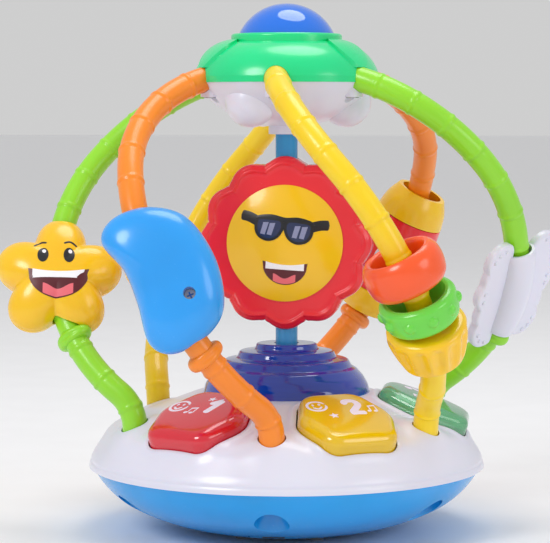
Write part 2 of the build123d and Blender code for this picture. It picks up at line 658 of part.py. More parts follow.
def moulding(plane, outline, front, back, edge, bores, screw_points=()):
    """Front and back half shells of a puffy shape, hollow, with curved bore and screw bosses at the back."""
    halves = []
    for side, depth in ((1, front), (-1, back)):
        half_plane = Plane(origin=plane.origin, x_dir=plane.x_dir * side, z_dir=-plane.y_dir * side)
        with BuildPart() as half:
            with BuildSketch(half_plane):
                add(outline(0) if side == 1 else outline(0).mirror(Plane.YZ))
            extrude(amount=depth)
            chamfer(half.faces().sort_by(Axis(half_plane.origin, half_plane.z_dir))[-1].edges(), edge)
            with BuildSketch(half_plane):
                add(outline(-slider_wall) if side == 1 else outline(-slider_wall).mirror(Plane.YZ))
            extrude(amount=depth - edge - slider_wall / 2, mode=Mode.SUBTRACT)
            for x, y in screw_points:
                with Locations(half_plane * Pos(side * x, y, 0)):
                    Cylinder(3.4, depth - edge / 2, align=(Align.CENTER, Align.CENTER, Align.MIN))
                if side == 1:
                    with Locations(half_plane * Pos(x, y, 0)):
                        Cylinder(screw_radius, 7, align=(Align.CENTER, Align.CENTER, Align.MIN), mode=Mode.SUBTRACT)
                else:
                    with Locations(half_plane * Pos(-x, y, 0)):
                        Cylinder(screw_radius + fit, depth, align=(Align.CENTER, Align.CENTER, Align.MIN),
                                 mode=Mode.SUBTRACT)
                    with Locations(half_plane * Pos(-x, y, 3)):
                        Cylinder(2.4, depth, align=(Align.CENTER, Align.CENTER, Align.MIN), mode=Mode.SUBTRACT)
            add(bores, mode=Mode.SUBTRACT)
        halves.append(half.part)
    return halves


def shell_screws(plane, screw_points):
    """Screws of a pair of half shells, heads in the back half."""
    with BuildPart() as group:
        for x, y in screw_points:
            with Locations(Plane(origin=plane.origin, x_dir=plane.x_dir, z_dir=-plane.y_dir) * Pos(x, y, -3)):
                Cylinder(screw_radius, 8, align=(Align.CENTER, Align.CENTER, Align.MIN))
                Cylinder(2.3, 1.6, align=(Align.CENTER, Align.CENTER, Align.MAX))
            with Locations(Plane(origin=plane.origin, x_dir=plane.x_dir, z_dir=-plane.y_dir) * Pos(x, y, -4.6)):
                Box(2.8, 0.7, 1.4, mode=Mode.SUBTRACT)
                Box(0.7, 2.8, 1.4, mode=Mode.SUBTRACT)
    return group.part


def bore_of(arch):
    """Bore cutter of one arch."""
    return bore_tool.rotate(Axis.Z, -90 + arch * arch_pitch)


def collar_of(arch):
    """Cutter that clears one arch's collar."""
    return collar_tool.rotate(Axis.Z, -90 + arch * arch_pitch)


# Star on the front-left arch: five round lobes, the collar between the two lower ones.
star_arch, star_turn, star_lean = 4, 94.6, 8.0
star_lobe_radius, star_lobe_reach, star_core_radius = 10.5, 17.5, 15.5
star_notch_fillet = 4.0
star_clear = star_lobe_reach * cos(radians(36)) + (star_lobe_radius ** 2 - (
    collar_radius + 1 - star_lobe_reach * sin(radians(36))) ** 2) ** 0.5
star_plane = slider_plane(star_arch, above_stop(star_clear), star_turn)


def star_outline(grow):
    """Star of five round lobes."""
    with BuildSketch() as face:
        Circle(star_core_radius + grow)
        with PolarLocations(star_lobe_reach, 5, start_angle=90 - star_lean):
            Circle(star_lobe_radius + grow)
        if grow == 0:
            fillet([v for v in face.vertices() if v.center().length < star_lobe_reach + 5], star_notch_fillet)
    return face.sketch


star_screw_points = [(-12.5, 6.0), (12.5, 3.0)]
star_bores = [bore_of(star_arch), collar_of(star_arch)]
star_front, star_back = moulding(star_plane, star_outline, 12.5, 12.5, 4.0, star_bores, star_screw_points)
star_front.label = "star_front"
export_step(star_front, "parts/star_front.step")
star_back.label = "star_back"
export_step(star_back, "parts/star_back.step")
star_screws = shell_screws(star_plane, star_screw_points)
star_screws.label = "star_screws"
export_step(star_screws, "parts/star_screws.step")

# Moon on the front arch to the left: a thick crescent whose back is towards the front of the toy.
moon_arch, moon_turn = 5, 212.4
moon_bottom = 28.4
moon_plane = slider_plane(moon_arch, above_stop(moon_bottom, collar_radius), moon_turn)


moon_points = [(13.8, 23), (6, 29.5), (-8, 28), (-20, 18), (-23.5, -1), (-19, -19), (-9, -27), (6, -28.4),
               (13.5, -21), (11.3, -5), (10.6, 9)]
moon_half_width = 17.0


def moon_outline(grow):
    """Crescent seen from its face, so the hollow side is at +X."""
    with BuildSketch() as face:
        with BuildLine():
            middle = Vector(-5, 0)
            Spline(*[middle + (Vector(*p) - middle) * (1 + grow / moon_half_width) for p in moon_points], periodic=True)
        make_face()
    return face.sketch


moon_screw_points = [(12.0, 20.0), (0.4 - 9, -11.0)]
moon_front, moon_back = moulding(moon_plane, moon_outline, 13.0, 11.0, 2.5, bore_of(moon_arch), moon_screw_points[1:])
moon_front.label = "moon_front"
export_step(moon_front, "parts/moon_front.step")
moon_back.label = "moon_back"
export_step(moon_back, "parts/moon_back.step")
moon_screws = shell_screws(moon_plane, moon_screw_points[1:])
moon_screws.label = "moon_screws"
export_step(moon_screws, "parts/moon_screws.step")

# Three rings on the front arch, the lowest with a skirt over the collar.
ring_arch = 0
ring_radius, ring_crown = 16.3, 12.5
skirt_drop = 6.0
ring_heights = {"yellow": 10.0, "green": 13.0, "orange": 16.0}
ring_bores = {"yellow": bore_radius, "green": 10.4, "orange": 10.4}
ring_angle = above_stop(ring_heights["yellow"] / 2, collar_radius) + ring_heights["yellow"] / 2 / mm_per_degree
ring_angles = {}
below = 0.0
for colour, height in ring_heights.items():
    bend = (below + height) / 2 / belly_radius
    lift = ring_crown * sin(bend) / cos(bend) + gap if below else 0.0
    ring_angles[colour] = ring_angle - (lift + height / 2) / mm_per_degree
    ring_angle -= (lift + height) / mm_per_degree
    below = height

for colour, height in ring_heights.items():
    plane = slider_plane(ring_arch, ring_angles[colour], 0)
    with BuildPart() as ring:
        with Locations(plane):
            Cylinder(ring_radius, height)
        fillet(ring.edges().filter_by(GeomType.CIRCLE), height / 2 - 1.0 if height > 10 else 3.5)
        if colour == "yellow":
            with Locations(plane * Pos(0, 0, 1 - height / 2)):
                Cone(collar_radius + 3.2, ring_radius - 1.5, skirt_drop + 1, align=(Align.CENTER, Align.CENTER, Align.MAX))
            with Locations(plane * Pos(0, 0, -height / 2)):
                Cylinder(collar_radius + 1, skirt_drop + 2, align=(Align.CENTER, Align.CENTER, Align.MAX),
                         mode=Mode.SUBTRACT)
        if colour == "green":
            with Locations(plane):
                with PolarLocations(ring_radius - 0.6, 10):
                    Sphere(1.8)
        with Locations(plane):
            Cylinder(ring_bores[colour], 2 * height, mode=Mode.SUBTRACT)
        add(bore_of(ring_arch), mode=Mode.SUBTRACT)
    ring.part.label = f"ring_{colour}"
    export_step(ring.part, f"parts/ring_{colour}.step")

# Butterfly on the arch at the front right: a curved sleeve with a scalloped wing plate.
butterfly_arch, butterfly_turn = 1, -140.0
butterfly_length, sleeve_wall = 40.0, 1.7
butterfly_angle = above_stop(butterfly_length / 2)
wing_thickness = 4.6
with BuildPart() as butterfly:
    share_low, share_high = [(butterfly_angle + side * butterfly_length / 2 / mm_per_degree) / belly_span
                             for side in (1, -1)]
    with BuildLine():
        sleeve_line = ThreePointArc(belly @ share_high, belly @ ((share_low + share_high) / 2), belly @ share_low)
    with BuildSketch(Plane(origin=belly @ share_high, z_dir=belly % share_high)):
        Circle(bore_radius + sleeve_wall)
    sweep(path=sleeve_line)
with BuildPart() as butterfly_placed:
    add(butterfly.part, rotation=(0, 0, -90 + butterfly_arch * arch_pitch))
    wing_plane = slider_plane(butterfly_arch, butterfly_angle, butterfly_turn)
    with BuildSketch(Plane(origin=wing_plane.origin, x_dir=-wing_plane.y_dir, z_dir=wing_plane.x_dir)):
        for side in (1, -1):
            with Locations((side * 12, 17.5), (side * 13.5, 1), (side * 11, -18)):
                Circle(8.8)
            with Locations((side * 7, 0)):
                Rectangle(14, 34)
    extrude(amount=wing_thickness / 2, both=True)
    add([bore_of(butterfly_arch), collar_of(butterfly_arch)], mode=Mode.SUBTRACT)
butterfly_placed.part.label = "butterfly"
export_step(butterfly_placed.part, "parts/butterfly.step")

# Rocket on the back-right arch: skirt, body with a porthole, nose, all round the tube.
rocket_arch, rocket_turn, rocket_inward = 2, -156.3, 2.8
rocket_bottom = 29.5
rocket_plane = slider_plane(rocket_arch, above_stop(rocket_bottom, collar_radius), rocket_turn)
rocket_axis = rocket_plane.origin + (belly_centre.rotate(Axis.Z, -90 + rocket_arch * arch_pitch)
                                     - rocket_plane.origin).normalized() * rocket_inward
rocket_plane = Plane(origin=rocket_axis, x_dir=rocket_plane.x_dir, z_dir=rocket_plane.z_dir)
rocket_profile = {"rocket_skirt": [(12.6, -rocket_bottom), (14.6, -24), (14.2, -18)],
                  "rocket_body": [(14.2, -18), (15.9, 0), (14.7, 14)],
                  "rocket_nose": [(14.7, 14), (13.4, 23), (11.2, 30.0)]}
for name, (low, middle, high) in rocket_profile.items():
    with BuildPart() as piece:
        with BuildSketch(Plane(origin=rocket_plane.origin, x_dir=rocket_plane.x_dir, z_dir=rocket_plane.y_dir * -1)):
            with BuildLine():
                outer = ThreePointArc(low, middle, high)
                inner = ThreePointArc(*[(r - slider_wall, z) for r, z in (low, middle, high)])
                Line(outer @ 0, inner @ 0)
                Line(outer @ 1, inner @ 1)
            make_face()
        revolve(axis=Axis(rocket_plane.origin, rocket_plane.z_dir))
        if name == "rocket_body":
            with Locations(Plane(origin=rocket_plane.origin, z_dir=-rocket_plane.y_dir)):
                Cylinder(6.2, 30, align=(Align.CENTER, Align.CENTER, Align.MIN), mode=Mode.SUBTRACT)
        if name == "rocket_nose":
            add(bore_of(rocket_arch), mode=Mode.SUBTRACT)
        if name == "rocket_skirt":
            with Locations(rocket_plane * Pos(0, 0, -rocket_bottom)):
                Cylinder(12.2, slider_wall, align=(Align.CENTER, Align.CENTER, Align.MIN))
            add([bore_of(rocket_arch), collar_of(rocket_arch)], mode=Mode.SUBTRACT)
    piece.part.label = name
    export_step(piece.part, f"parts/{name}.step")

porthole_plane = Plane(origin=rocket_plane.origin, z_dir=-rocket_plane.y_dir)
with BuildPart() as porthole_rim:
    with Locations(porthole_plane * Pos(0, 0, 13.2)):
        Cylinder(6.2 - fit, 3.8, align=(Align.CENTER, Align.CENTER, Align.MIN))
        Cylinder(4.6, 4, align=(Align.CENTER, Align.CENTER, Align.MIN), mode=Mode.SUBTRACT)
porthole_rim.part.label = "porthole_rim"
export_step(porthole_rim.part, "parts/porthole_rim.step")
with BuildPart() as porthole_pane:
    with Locations(porthole_plane * Pos(0, 0, 13.8)):
        Cylinder(4.6, 1.6, align=(Align.CENTER, Align.CENTER, Align.MIN))
porthole_pane.part.label = "porthole_pane"
export_step(porthole_pane.part, "parts/porthole_pane.step")

# Ringed planet on the back arch: two half balls with a flat ring between them.
planet_arch, planet_turn = 3, 152.8
planet_radius, planet_ring_radius, planet_ring_height = 15.5, 21.5, 3.6
planet_bottom = (planet_radius ** 2 - (bore_radius + 1.5) ** 2) ** 0.5
planet_plane = slider_plane(planet_arch, above_stop(planet_bottom, collar_radius), planet_turn)
for name, side in (("planet_upper", 1), ("planet_lower", -1)):
    with BuildPart() as half:
        with Locations(planet_plane):
            Sphere(planet_radius)
            Sphere(planet_radius - slider_wall, mode=Mode.SUBTRACT)
        with Locations(planet_plane * Pos(0, 0, side * planet_ring_height / 2)):
            Box(50, 50, 50, align=(Align.CENTER, Align.CENTER, Align.MAX if side == 1 else Align.MIN),
                mode=Mode.SUBTRACT)
        with Locations(planet_plane * Pos(0, 0, side * planet_bottom)):
            Box(50, 50, 50, align=(Align.CENTER, Align.CENTER, Align.MIN if side == 1 else Align.MAX),
                mode=Mode.SUBTRACT)
        add(bore_of(planet_arch), mode=Mode.SUBTRACT)
    half.part.label = name
    export_step(half.part, f"parts/{name}.step")
with BuildPart() as planet_ring:
    with Locations(planet_plane):
        Cylinder(planet_ring_radius, planet_ring_height)
    fillet(planet_ring.edges().filter_by(GeomType.CIRCLE), 1.2)
    with Locations(planet_plane):
        Cylinder(planet_radius - slider_wall - 1, 2 * planet_ring_height, mode=Mode.SUBTRACT)
planet_ring.part.label = "planet_ring"
export_step(planet_ring.part, "parts/planet_ring.step")

# ---------------------------------------------------------------- base fittings
base_screws = screws([Pos(p.X, p.Y, well_roof) for p in foot_places], leg_bottom + 6 - well_roof)
base_screws.label = "base_screws"
export_step(base_screws, "parts/base_screws.step")

hub_screw_places = [Rot(0, 0, -90 + index * arch_pitch) * Pos(hub_screw_point.X, hub_screw_point.Y, hub_screw_seat)
                    for index in range(arch_count)]
hub_screws = screws(hub_screw_places, hub_screw_point.Z - hub_screw_seat - 1)
hub_screws.label = "hub_screws"
export_step(hub_screws, "parts/hub_screws.step")

post_screws = screws([Pos(0, 0, post_foot - wall)], wall + 5) + screws([Pos(0, 0, post_top + 2)], 6, head_up=True)
post_screws.label = "post_screws"
export_step(post_screws, "parts/post_screws.step")

with BuildPart() as battery_door:
    with Locations((0, 0, door_bottom)):
        Box(door_length, door_width, door_thickness, align=(Align.CENTER, Align.CENTER, Align.MIN))
    with Locations((*door_screw_place, door_bottom)):
        Box(door_tab_length, door_tab_width, door_tab_thickness, align=(Align.CENTER, Align.CENTER, Align.MIN))
        Cylinder(screw_head_radius + fit, door_tab_thickness - 1.4, align=(Align.CENTER, Align.CENTER, Align.MIN),
                 mode=Mode.SUBTRACT)
        Cylinder(screw_radius + fit, 20, mode=Mode.SUBTRACT)
battery_door.part.label = "battery_door"
export_step(battery_door.part, "parts/battery_door.step")

door_screw = screws([Pos(*door_screw_place, door_bottom + door_tab_thickness - 1.4)], 7)
door_screw.label = "door_screw"
export_step(door_screw, "parts/door_screw.step")

cell_radius, cell_length, cell_cap = 7.1, 49.0, 1.2
contact_thickness = 0.25
cell_rows = [-14.6, 0.0, 14.6]
with BuildPart() as batteries:
    for row, flip in zip(cell_rows, (1, -1, 1)):
        with Locations(Pos(0, row, bay_floor + 1 + cell_radius) * Rot(0, 90 * flip, 0)):
            Cylinder(cell_radius, cell_length)
            with Locations((0, 0, cell_length / 2)):
                Cylinder(2.6, cell_cap, align=(Align.CENTER, Align.CENTER, Align.MIN))
batteries.part.label = "batteries"
export_step(batteries.part, "parts/batteries.step")

with BuildPart() as battery_contacts:
    with Locations([(side * (bay_length - contact_thickness) / 2, row, bay_floor + 1 + cell_radius)
                    for row in cell_rows for side in (-1, 1)]):
        Box(contact_thickness, 9, 10)
battery_contacts.part.label = "battery_contacts"
export_step(battery_contacts.part, "parts/battery_contacts.step")

with BuildPart() as circuit_board:
    with Locations((0, 0, board_bottom)):
        Box(board_length, board_width, board_thickness, align=(Align.CENTER, Align.CENTER, Align.MIN))
    for height, size, place in ((2.0, (14, 14), (-12, 4)), (7.0, (8, 8), (14, -8)), (4.0, (5, 9), (18, 10))):
        with Locations((*place, board_bottom + board_thickness)):
            Box(*size, height, align=(Align.CENTER, Align.CENTER, Align.MIN))
circuit_board.part.label = "circuit_board"
export_step(circuit_board.part, "parts/circuit_board.step")

with BuildPart() as speaker:
    with Locations((*speaker_place, speaker_seat)):
        Cylinder(speaker_radius, 2, align=(Align.CENTER, Align.CENTER, Align.MIN))
        Cylinder(speaker_radius * 0.65, speaker_height, align=(Align.CENTER, Align.CENTER, Align.MIN))
speaker.part.label = "speaker"
export_step(speaker.part, "parts/speaker.step")

knob_travel, knob_stem = 3.5, 4.0
with BuildPart() as switch_knob:
    with Locations((*switch_place, foot_pad_height + 3.4)):
        Box(9, 7, switch_pocket_height - foot_pad_height - 3.4 - gap, align=(Align.CENTER, Align.CENTER, Align.MIN))
        Box(knob_stem, knob_stem, switch_pocket_height + wall - foot_pad_height + 0.6,
            align=(Align.CENTER, Align.CENTER, Align.MIN))
switch_knob.part.label = "switch_knob"
export_step(switch_knob.part, "parts/switch_knob.step")

with BuildPart() as switch_body:
    with Locations((*switch_place, foot_pad_height + switch_pocket_height + wall)):
        Box(24, 9, 7, align=(Align.CENTER, Align.CENTER, Align.MIN))
        Box(knob_stem + 2 * knob_travel + 2, knob_stem + 1, 5, align=(Align.CENTER, Align.CENTER, Align.MIN),
            mode=Mode.SUBTRACT)
switch_body.part.label = "switch_body"
export_step(switch_body.part, "parts/switch_body.step")

foot_pad_places = [(x * 14.5, y * 28.0) for x in (-1, 1) for y in (-1, 1)]
foot_pad_radius = 3.6
with BuildPart() as foot_pads:
    with Locations(*foot_pad_places):
        Cylinder(foot_pad_radius, 2 * foot_pad_height, align=(Align.CENTER, Align.CENTER, Align.MIN))
    add(bowl(0), mode=Mode.SUBTRACT)
foot_pads.part.label = "foot_pads"
export_step(foot_pads.part, "parts/foot_pads.step")
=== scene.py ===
# %% [markdown]
# # Baby activity ball
# A musical toy for a baby: a bowl-shaped base with three push buttons and a see-through dome, six twisted
# arches that meet in a hub, and figures that slide on the arches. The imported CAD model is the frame: every
# moving part, screw and shell is already there. This file gives each surface its finish, and models again
# the puffy figures, the jointed arches and the printed faces as surfaces worked out from formulas.

# %% Load the frame
import math

import bmesh
import bpy
import numpy as np
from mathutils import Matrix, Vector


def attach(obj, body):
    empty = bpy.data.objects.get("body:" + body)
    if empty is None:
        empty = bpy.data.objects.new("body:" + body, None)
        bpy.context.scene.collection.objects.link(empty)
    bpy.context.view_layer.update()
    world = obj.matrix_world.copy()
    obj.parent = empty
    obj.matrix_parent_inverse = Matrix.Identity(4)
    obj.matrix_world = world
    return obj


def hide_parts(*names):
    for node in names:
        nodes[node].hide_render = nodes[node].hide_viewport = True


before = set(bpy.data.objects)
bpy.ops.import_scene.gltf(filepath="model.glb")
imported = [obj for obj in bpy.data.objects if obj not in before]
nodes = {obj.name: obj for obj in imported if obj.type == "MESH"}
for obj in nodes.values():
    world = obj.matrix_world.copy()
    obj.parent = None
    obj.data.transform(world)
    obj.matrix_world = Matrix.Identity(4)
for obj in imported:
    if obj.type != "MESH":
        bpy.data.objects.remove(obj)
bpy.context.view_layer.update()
MM = 0.001
print("nodes in the frame:", len(nodes))

# %% [markdown]
# ## Colours and materials
# Nearly everything here is injection-moulded plastic: ABS for shells, polypropylene for the bendy arches,
# and see-through polycarbonate for the dome, ball and buttons. A moulded part isn't perfectly flat: it has a
# faint waviness of a few millimetres where the plastic shrank, a fine grain from the steel mould, and a
# colour that drifts slightly with the pigment. Three noises of real size give those. One small function
# adds a node, sets it up and links it.


# %% Node helper and colour conversion
def linear(code, alpha=1.0):
    """Linear colour of an sRGB hex code: c/12.92 below 0.04045, else ((c+0.055)/1.055)^2.4."""
    share = np.array([int(code[i:i + 2], 16) for i in (0, 2, 4)]) / 255
    rgb = np.where(share <= 0.04045, share / 12.92, ((share + 0.055) / 1.055) ** 2.4)
    return (*rgb.tolist(), alpha)


def add(tree, kind, links=None, values=None, **settings):
    """Adds a node of a kind with its settings, its socket values, and links from other nodes' sockets."""
    node = tree.nodes.new(kind)
    for key, value in settings.items():
        setattr(node, key, value)
    for socket, value in (values or {}).items():
        node.inputs[socket].default_value = value
    for socket, source in (links or {}).items():
        tree.links.new(source, node.inputs[socket])
    return node


def ramp(node, low, high, start=0.3, end=0.7):
    """Sets a colour ramp's two stops."""
    stops = node.color_ramp.elements
    stops[0].position, stops[1].position = start, end
    stops[0].color, stops[1].color = low, high


# %% Moulded plastic
def moulded(name, code, rough=0.24, wave=0.35, grain=0.04, drift=0.06, **shader):
    """Moulded plastic: shrinkage waves 14 mm long, mould grain 0.6 mm across, pigment drift over 30 mm."""
    material = bpy.data.materials.new(name)
    material.use_nodes = True
    tree = material.node_tree
    surface = tree.nodes["Principled BSDF"]
    place = add(tree, "ShaderNodeTexCoord").outputs["Object"]
    pigment = add(tree, "ShaderNodeTexNoise", {"Vector": place}, {"Scale": 33, "Detail": 2})
    tint = add(tree, "ShaderNodeValToRGB", {"Fac": pigment.outputs["Fac"]})
    base = np.array(linear(code)[:3])
    ramp(tint, (*(base * (1 - drift)), 1), (*np.minimum(base * (1 + drift), 1), 1))
    tree.links.new(tint.outputs["Color"], surface.inputs["Base Color"])
    waves = add(tree, "ShaderNodeTexNoise", {"Vector": place}, {"Scale": 70, "Detail": 1})
    fine = add(tree, "ShaderNodeTexNoise", {"Vector": place}, {"Scale": 1600, "Detail": 2})
    polish = add(tree, "ShaderNodeMapRange", {"Value": fine.outputs["Fac"]},
                 {"To Min": rough - 0.04, "To Max": rough + 0.06})
    tree.links.new(polish.outputs["Result"], surface.inputs["Roughness"])
    sink = add(tree, "ShaderNodeBump", {"Height": waves.outputs["Fac"]},
               {"Strength": wave, "Distance": 0.0004})
    relief = add(tree, "ShaderNodeBump", {"Height": fine.outputs["Fac"], "Normal": sink.outputs["Normal"]},
                 {"Strength": grain, "Distance": 0.0002})
    tree.links.new(relief.outputs["Normal"], surface.inputs["Normal"])
    surface.inputs["IOR"].default_value = 1.53
    for socket, value in shader.items():
        surface.inputs[socket.replace("_", " ")].default_value = value
    return material


GLOW = {"Subsurface_Weight": 0.08, "Subsurface_Scale": 0.004, "Coat_Weight": 0.25, "Coat_Roughness": 0.08}
sky_abs = moulded("sky blue moulded ABS", "16A4F0", **GLOW)
white_abs = moulded("white moulded ABS", "E2E1F0", rough=0.3, drift=0.015, **GLOW)
mint_abs = moulded("mint green moulded ABS", "10DC8A", **GLOW)
red_abs = moulded("red moulded ABS", "EE1E2C", **GLOW)
yellow_abs = moulded("yellow moulded ABS", "FFC60C", **GLOW)
moon_abs = moulded("bright blue moulded ABS", "229EF2", **GLOW)
peach_abs = moulded("peach moulded ABS", "F79A5B", **GLOW)
green_abs = moulded("leaf green moulded ABS", "6EDB45", **GLOW)
orange_abs = moulded("orange moulded ABS", "FF5A1E", **GLOW)
post_abs = moulded("cyan moulded ABS", "2795D2", rough=0.2, **GLOW)
arch_finishes = {"yellow": moulded("yellow moulded polypropylene", "FFD600", rough=0.34, **GLOW),
                 "lime": moulded("lime moulded polypropylene", "93DE22", rough=0.34, **GLOW),
                 "orange": moulded("orange moulded polypropylene", "FF8A12", rough=0.34, **GLOW)}
black_abs = moulded("black moulded ABS", "202225", rough=0.4, grain=0.12)
print("moulded finishes:", len(bpy.data.materials))

# %% [markdown]
# ## See-through plastic
# The dome, the ball and the buttons are tinted polycarbonate: light goes through the wall and takes its
# colour on the way. Transmission with a strong base colour does that, and the same faint waviness
# breaks up the reflections.


# %% Tinted polycarbonate
def tinted(name, code, transmission, rough=0.06, **shader):
    """Tinted see-through plastic with a moulded skin."""
    material = moulded(name, code, rough=max(rough, 0.05), wave=0.25, grain=0.02, drift=0.03, **shader)
    surface = material.node_tree.nodes["Principled BSDF"]
    surface.inputs["Transmission Weight"].default_value = transmission
    surface.inputs["IOR"].default_value = 1.585
    return material


navy_clear = tinted("navy tinted polycarbonate", "0C3CC4", 0.3, Coat_Weight=0.6, Coat_Roughness=0.03)
ball_clear = tinted("blue tinted polycarbonate", "0478F2", 0.15, Coat_Weight=0.5, Coat_Roughness=0.04)
BUTTON_GLOSS = {"rough": 0.12, "Coat_Weight": 0.5, "Coat_Roughness": 0.06}
red_clear = tinted("red tinted polycarbonate", "EC1B33", 0.2, **BUTTON_GLOSS)
yellow_clear = tinted("yellow tinted polycarbonate", "FFD008", 0.2, **BUTTON_GLOSS)
green_clear = tinted("green tinted polycarbonate", "06DE7C", 0.2, **BUTTON_GLOSS)
clear_cap = tinted("clear polycarbonate", "D6FBE8", 0.85)
led_clear = tinted("clear lamp epoxy", "F4EEE0", 0.7)


# %% [markdown]
# ## Hidden metal, rubber and boards
# Screws are zinc-plated steel, contacts are nickel-plated, the pads are soft silicone rubber, and the boards
# are glass-epoxy under a green solder mask.

# %% Metal, rubber and board finishes
def plated(name, code, rough):
    """Plated metal: bare metallic shine under a strong fine grain and a slightly patchy colour."""
    material = moulded(name, code, rough=rough, wave=0.1, grain=0.25, drift=0.08)
    surface = material.node_tree.nodes["Principled BSDF"]
    surface.inputs["Metallic"].default_value = 1.0
    surface.inputs["IOR"].default_value = 1.5
    return material


zinc = plated("zinc-plated steel", "B4B7BA", 0.32)
nickel = plated("nickel-plated strip", "C9C6BE", 0.28)
rubber = moulded("grey silicone rubber", "77797C", rough=0.7, grain=0.3)
solder_mask = moulded("green solder mask", "1E6B3C", rough=0.35, grain=0.2)
cell_jacket = moulded("printed cell jacket", "4E5B6E", rough=0.3, grain=0.05)

# %% Printed inks
def ink(name, code, rough=0.35):
    """Pad-printed ink: a thin even film with a slight orange peel."""
    return moulded(name, code, rough=rough, wave=0.1, grain=0.1, drift=0.02)


black_ink = ink("black printed ink", "16171C")
lens_ink = ink("navy printed ink", "2B3558", rough=0.18)
glint_ink = ink("lilac printed ink", "8E92B4", rough=0.25)
white_ink = ink("white printed ink", "FBFAFF")
mouth_ink = ink("dark red printed ink", "5A1420")
tongue_ink = ink("coral printed ink", "F0707A")
label_ink = ink("pale lilac printed ink", "F0E6F8")

# %% Finishes on the carried-over nodes
node_finishes = {
    "lower_shell": sky_abs, "battery_door": sky_abs, "deck_shell": white_abs, "hub_lower": white_abs,
    "ball_cup": white_abs, "hub_cap": mint_abs, "ball": ball_clear, "post": post_abs,
    "light_dome": navy_clear, "button_red": red_clear, "button_yellow": yellow_clear,
    "button_green": green_clear, "foot_pads": rubber, "button_pads": rubber, "switch_knob": black_abs,
    "switch_body": black_abs, "speaker": black_abs, "batteries": cell_jacket, "battery_contacts": nickel,
    "circuit_board": solder_mask, "button_boards": solder_mask, "light_board": solder_mask,
    "light_leds": led_clear, "base_screws": zinc, "door_screw": zinc, "post_screws": zinc, "hub_screws": zinc,
    "star_screws": zinc, "moon_screws": zinc, "porthole_rim": white_abs, "porthole_pane": navy_clear,
    "rocket_skirt": yellow_abs, "rocket_nose": yellow_abs, "rocket_body": red_abs,
    "planet_upper": peach_abs, "planet_lower": peach_abs, "planet_ring": yellow_abs,
}
for name, finish in node_finishes.items():
    nodes[name].data.materials.clear()
    nodes[name].data.materials.append(finish)
print("nodes with a finish of their own:", len(node_finishes))

# %% [markdown]
# ## From arrays to pieces
# Each new shape is a grid of points: one parameter runs round it, the other along it. Rows that shrink to
# one point become poles when doubles are merged, so a closed shape needs no special case at its ends.


# %% Grids and pieces
def grid_faces(rows, columns, wrap_rows, wrap_columns, start=0):
    """Quads of a grid of points, four indices each. A wrap joins the last line to the first."""
    r = np.arange(rows if wrap_rows else rows - 1)[:, None]
    c = np.arange(columns if wrap_columns else columns - 1)[None, :]
    r2, c2 = (r + 1) % rows, (c + 1) % columns
    corners = [r * columns + c, r * columns + c2, r2 * columns + c2, r2 * columns + c]
    return start + np.stack([np.broadcast_to(k, (r.size, c.size)) for k in corners], -1).reshape(-1, 4)


def piece(name, grids, finish, body, replaces=(), sharp=35):
    """One object from grids of points (rows, columns, 3) in metres, each closed round its columns."""
    points, faces, start = [], [], 0
    for grid, wrap_rows in grids:
        points.append(grid.reshape(-1, 3))
        faces.append(grid_faces(*grid.shape[:2], wrap_rows, True, start))
        start += grid.shape[0] * grid.shape[1]
    mesh = bpy.data.meshes.new(name)
    mesh.from_pydata(np.concatenate(points).tolist(), [], np.concatenate(faces).tolist())
    work = bmesh.new()
    work.from_mesh(mesh)
    bmesh.ops.remove_doubles(work, verts=work.verts, dist=2e-6)
    bmesh.ops.dissolve_degenerate(work, edges=work.edges, dist=1e-6)
    bmesh.ops.recalc_face_normals(work, faces=work.faces)
    work.to_mesh(mesh)
    work.free()
    made = bpy.data.objects.new(name, mesh)
    bpy.context.scene.collection.objects.link(made)
    soften(made, sharp)
    mesh.materials.append(finish)
    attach(made, body)
    if replaces:
        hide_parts(*replaces)
    return made


def soften(made, sharp):
    """Smooth shading, with edges sharper than an angle kept crisp."""
    made.data.polygons.foreach_set("use_smooth", np.ones(len(made.data.polygons), bool))
    made.data.set_sharp_from_angle(angle=math.radians(sharp))


def cut(made, grids, sharp=35):
    """Takes the solids that grids enclose out of a piece, and applies it to the mesh."""
    finish = made.data.materials[0]
    tool = piece("tool", grids, finish, "base")
    change = made.modifiers.new("cut", "BOOLEAN")
    change.object, change.solver, change.operation = tool, "EXACT", "DIFFERENCE"
    graph = bpy.context.evaluated_depsgraph_get()
    fresh = bpy.data.meshes.new_from_object(made.evaluated_get(graph))
    made.modifiers.clear()
    made.data = fresh
    bpy.data.objects.remove(tool)
    soften(made, sharp)


# %% [markdown]
# ## The arch's line
# Each arch is three circular arcs that run into each other: a bend out of the hub, the long belly, and a
# bend down into the deck. An arc that starts in a known direction and ends at a known point is unique:
# its centre lies in the plane of the direction and the chord, square to the direction.


# %% Arcs through space
def unit(vector):
    """Vector of length one."""
    return vector / np.linalg.norm(vector)


def around(count):
    """Even angles round a full turn."""
    return np.linspace(0, 2 * np.pi, count, endpoint=False)


def rays(angle):
    """Unit vectors (cos, sin) at angles."""
    return np.stack([np.cos(angle), np.sin(angle)], -1)


def raised(flat, height):
    """Flat points with a height added as their third value."""
    return np.concatenate([flat, np.broadcast_to(height, flat.shape[:2])[..., None]], -1)


def tangent_arc(start, direction, end):
    """Centre, radius, angle, and the two unit axes (towards the start, along the direction) of the arc."""
    chord = end - start
    side = unit(np.cross(np.cross(direction, chord), direction))
    radius = chord @ chord / (2 * chord @ side)
    angle = 2 * math.atan2(chord @ side, chord @ direction)
    return start + radius * side, radius, angle, -side, direction


def on_arc(arc, angle):
    """Points and directions at angles along an arc."""
    centre, radius, _, outward, along = arc
    angle = np.atleast_1d(angle)[:, None]
    return (centre + radius * (outward * np.cos(angle) + along * np.sin(angle)),
            along * np.cos(angle) - outward * np.sin(angle))


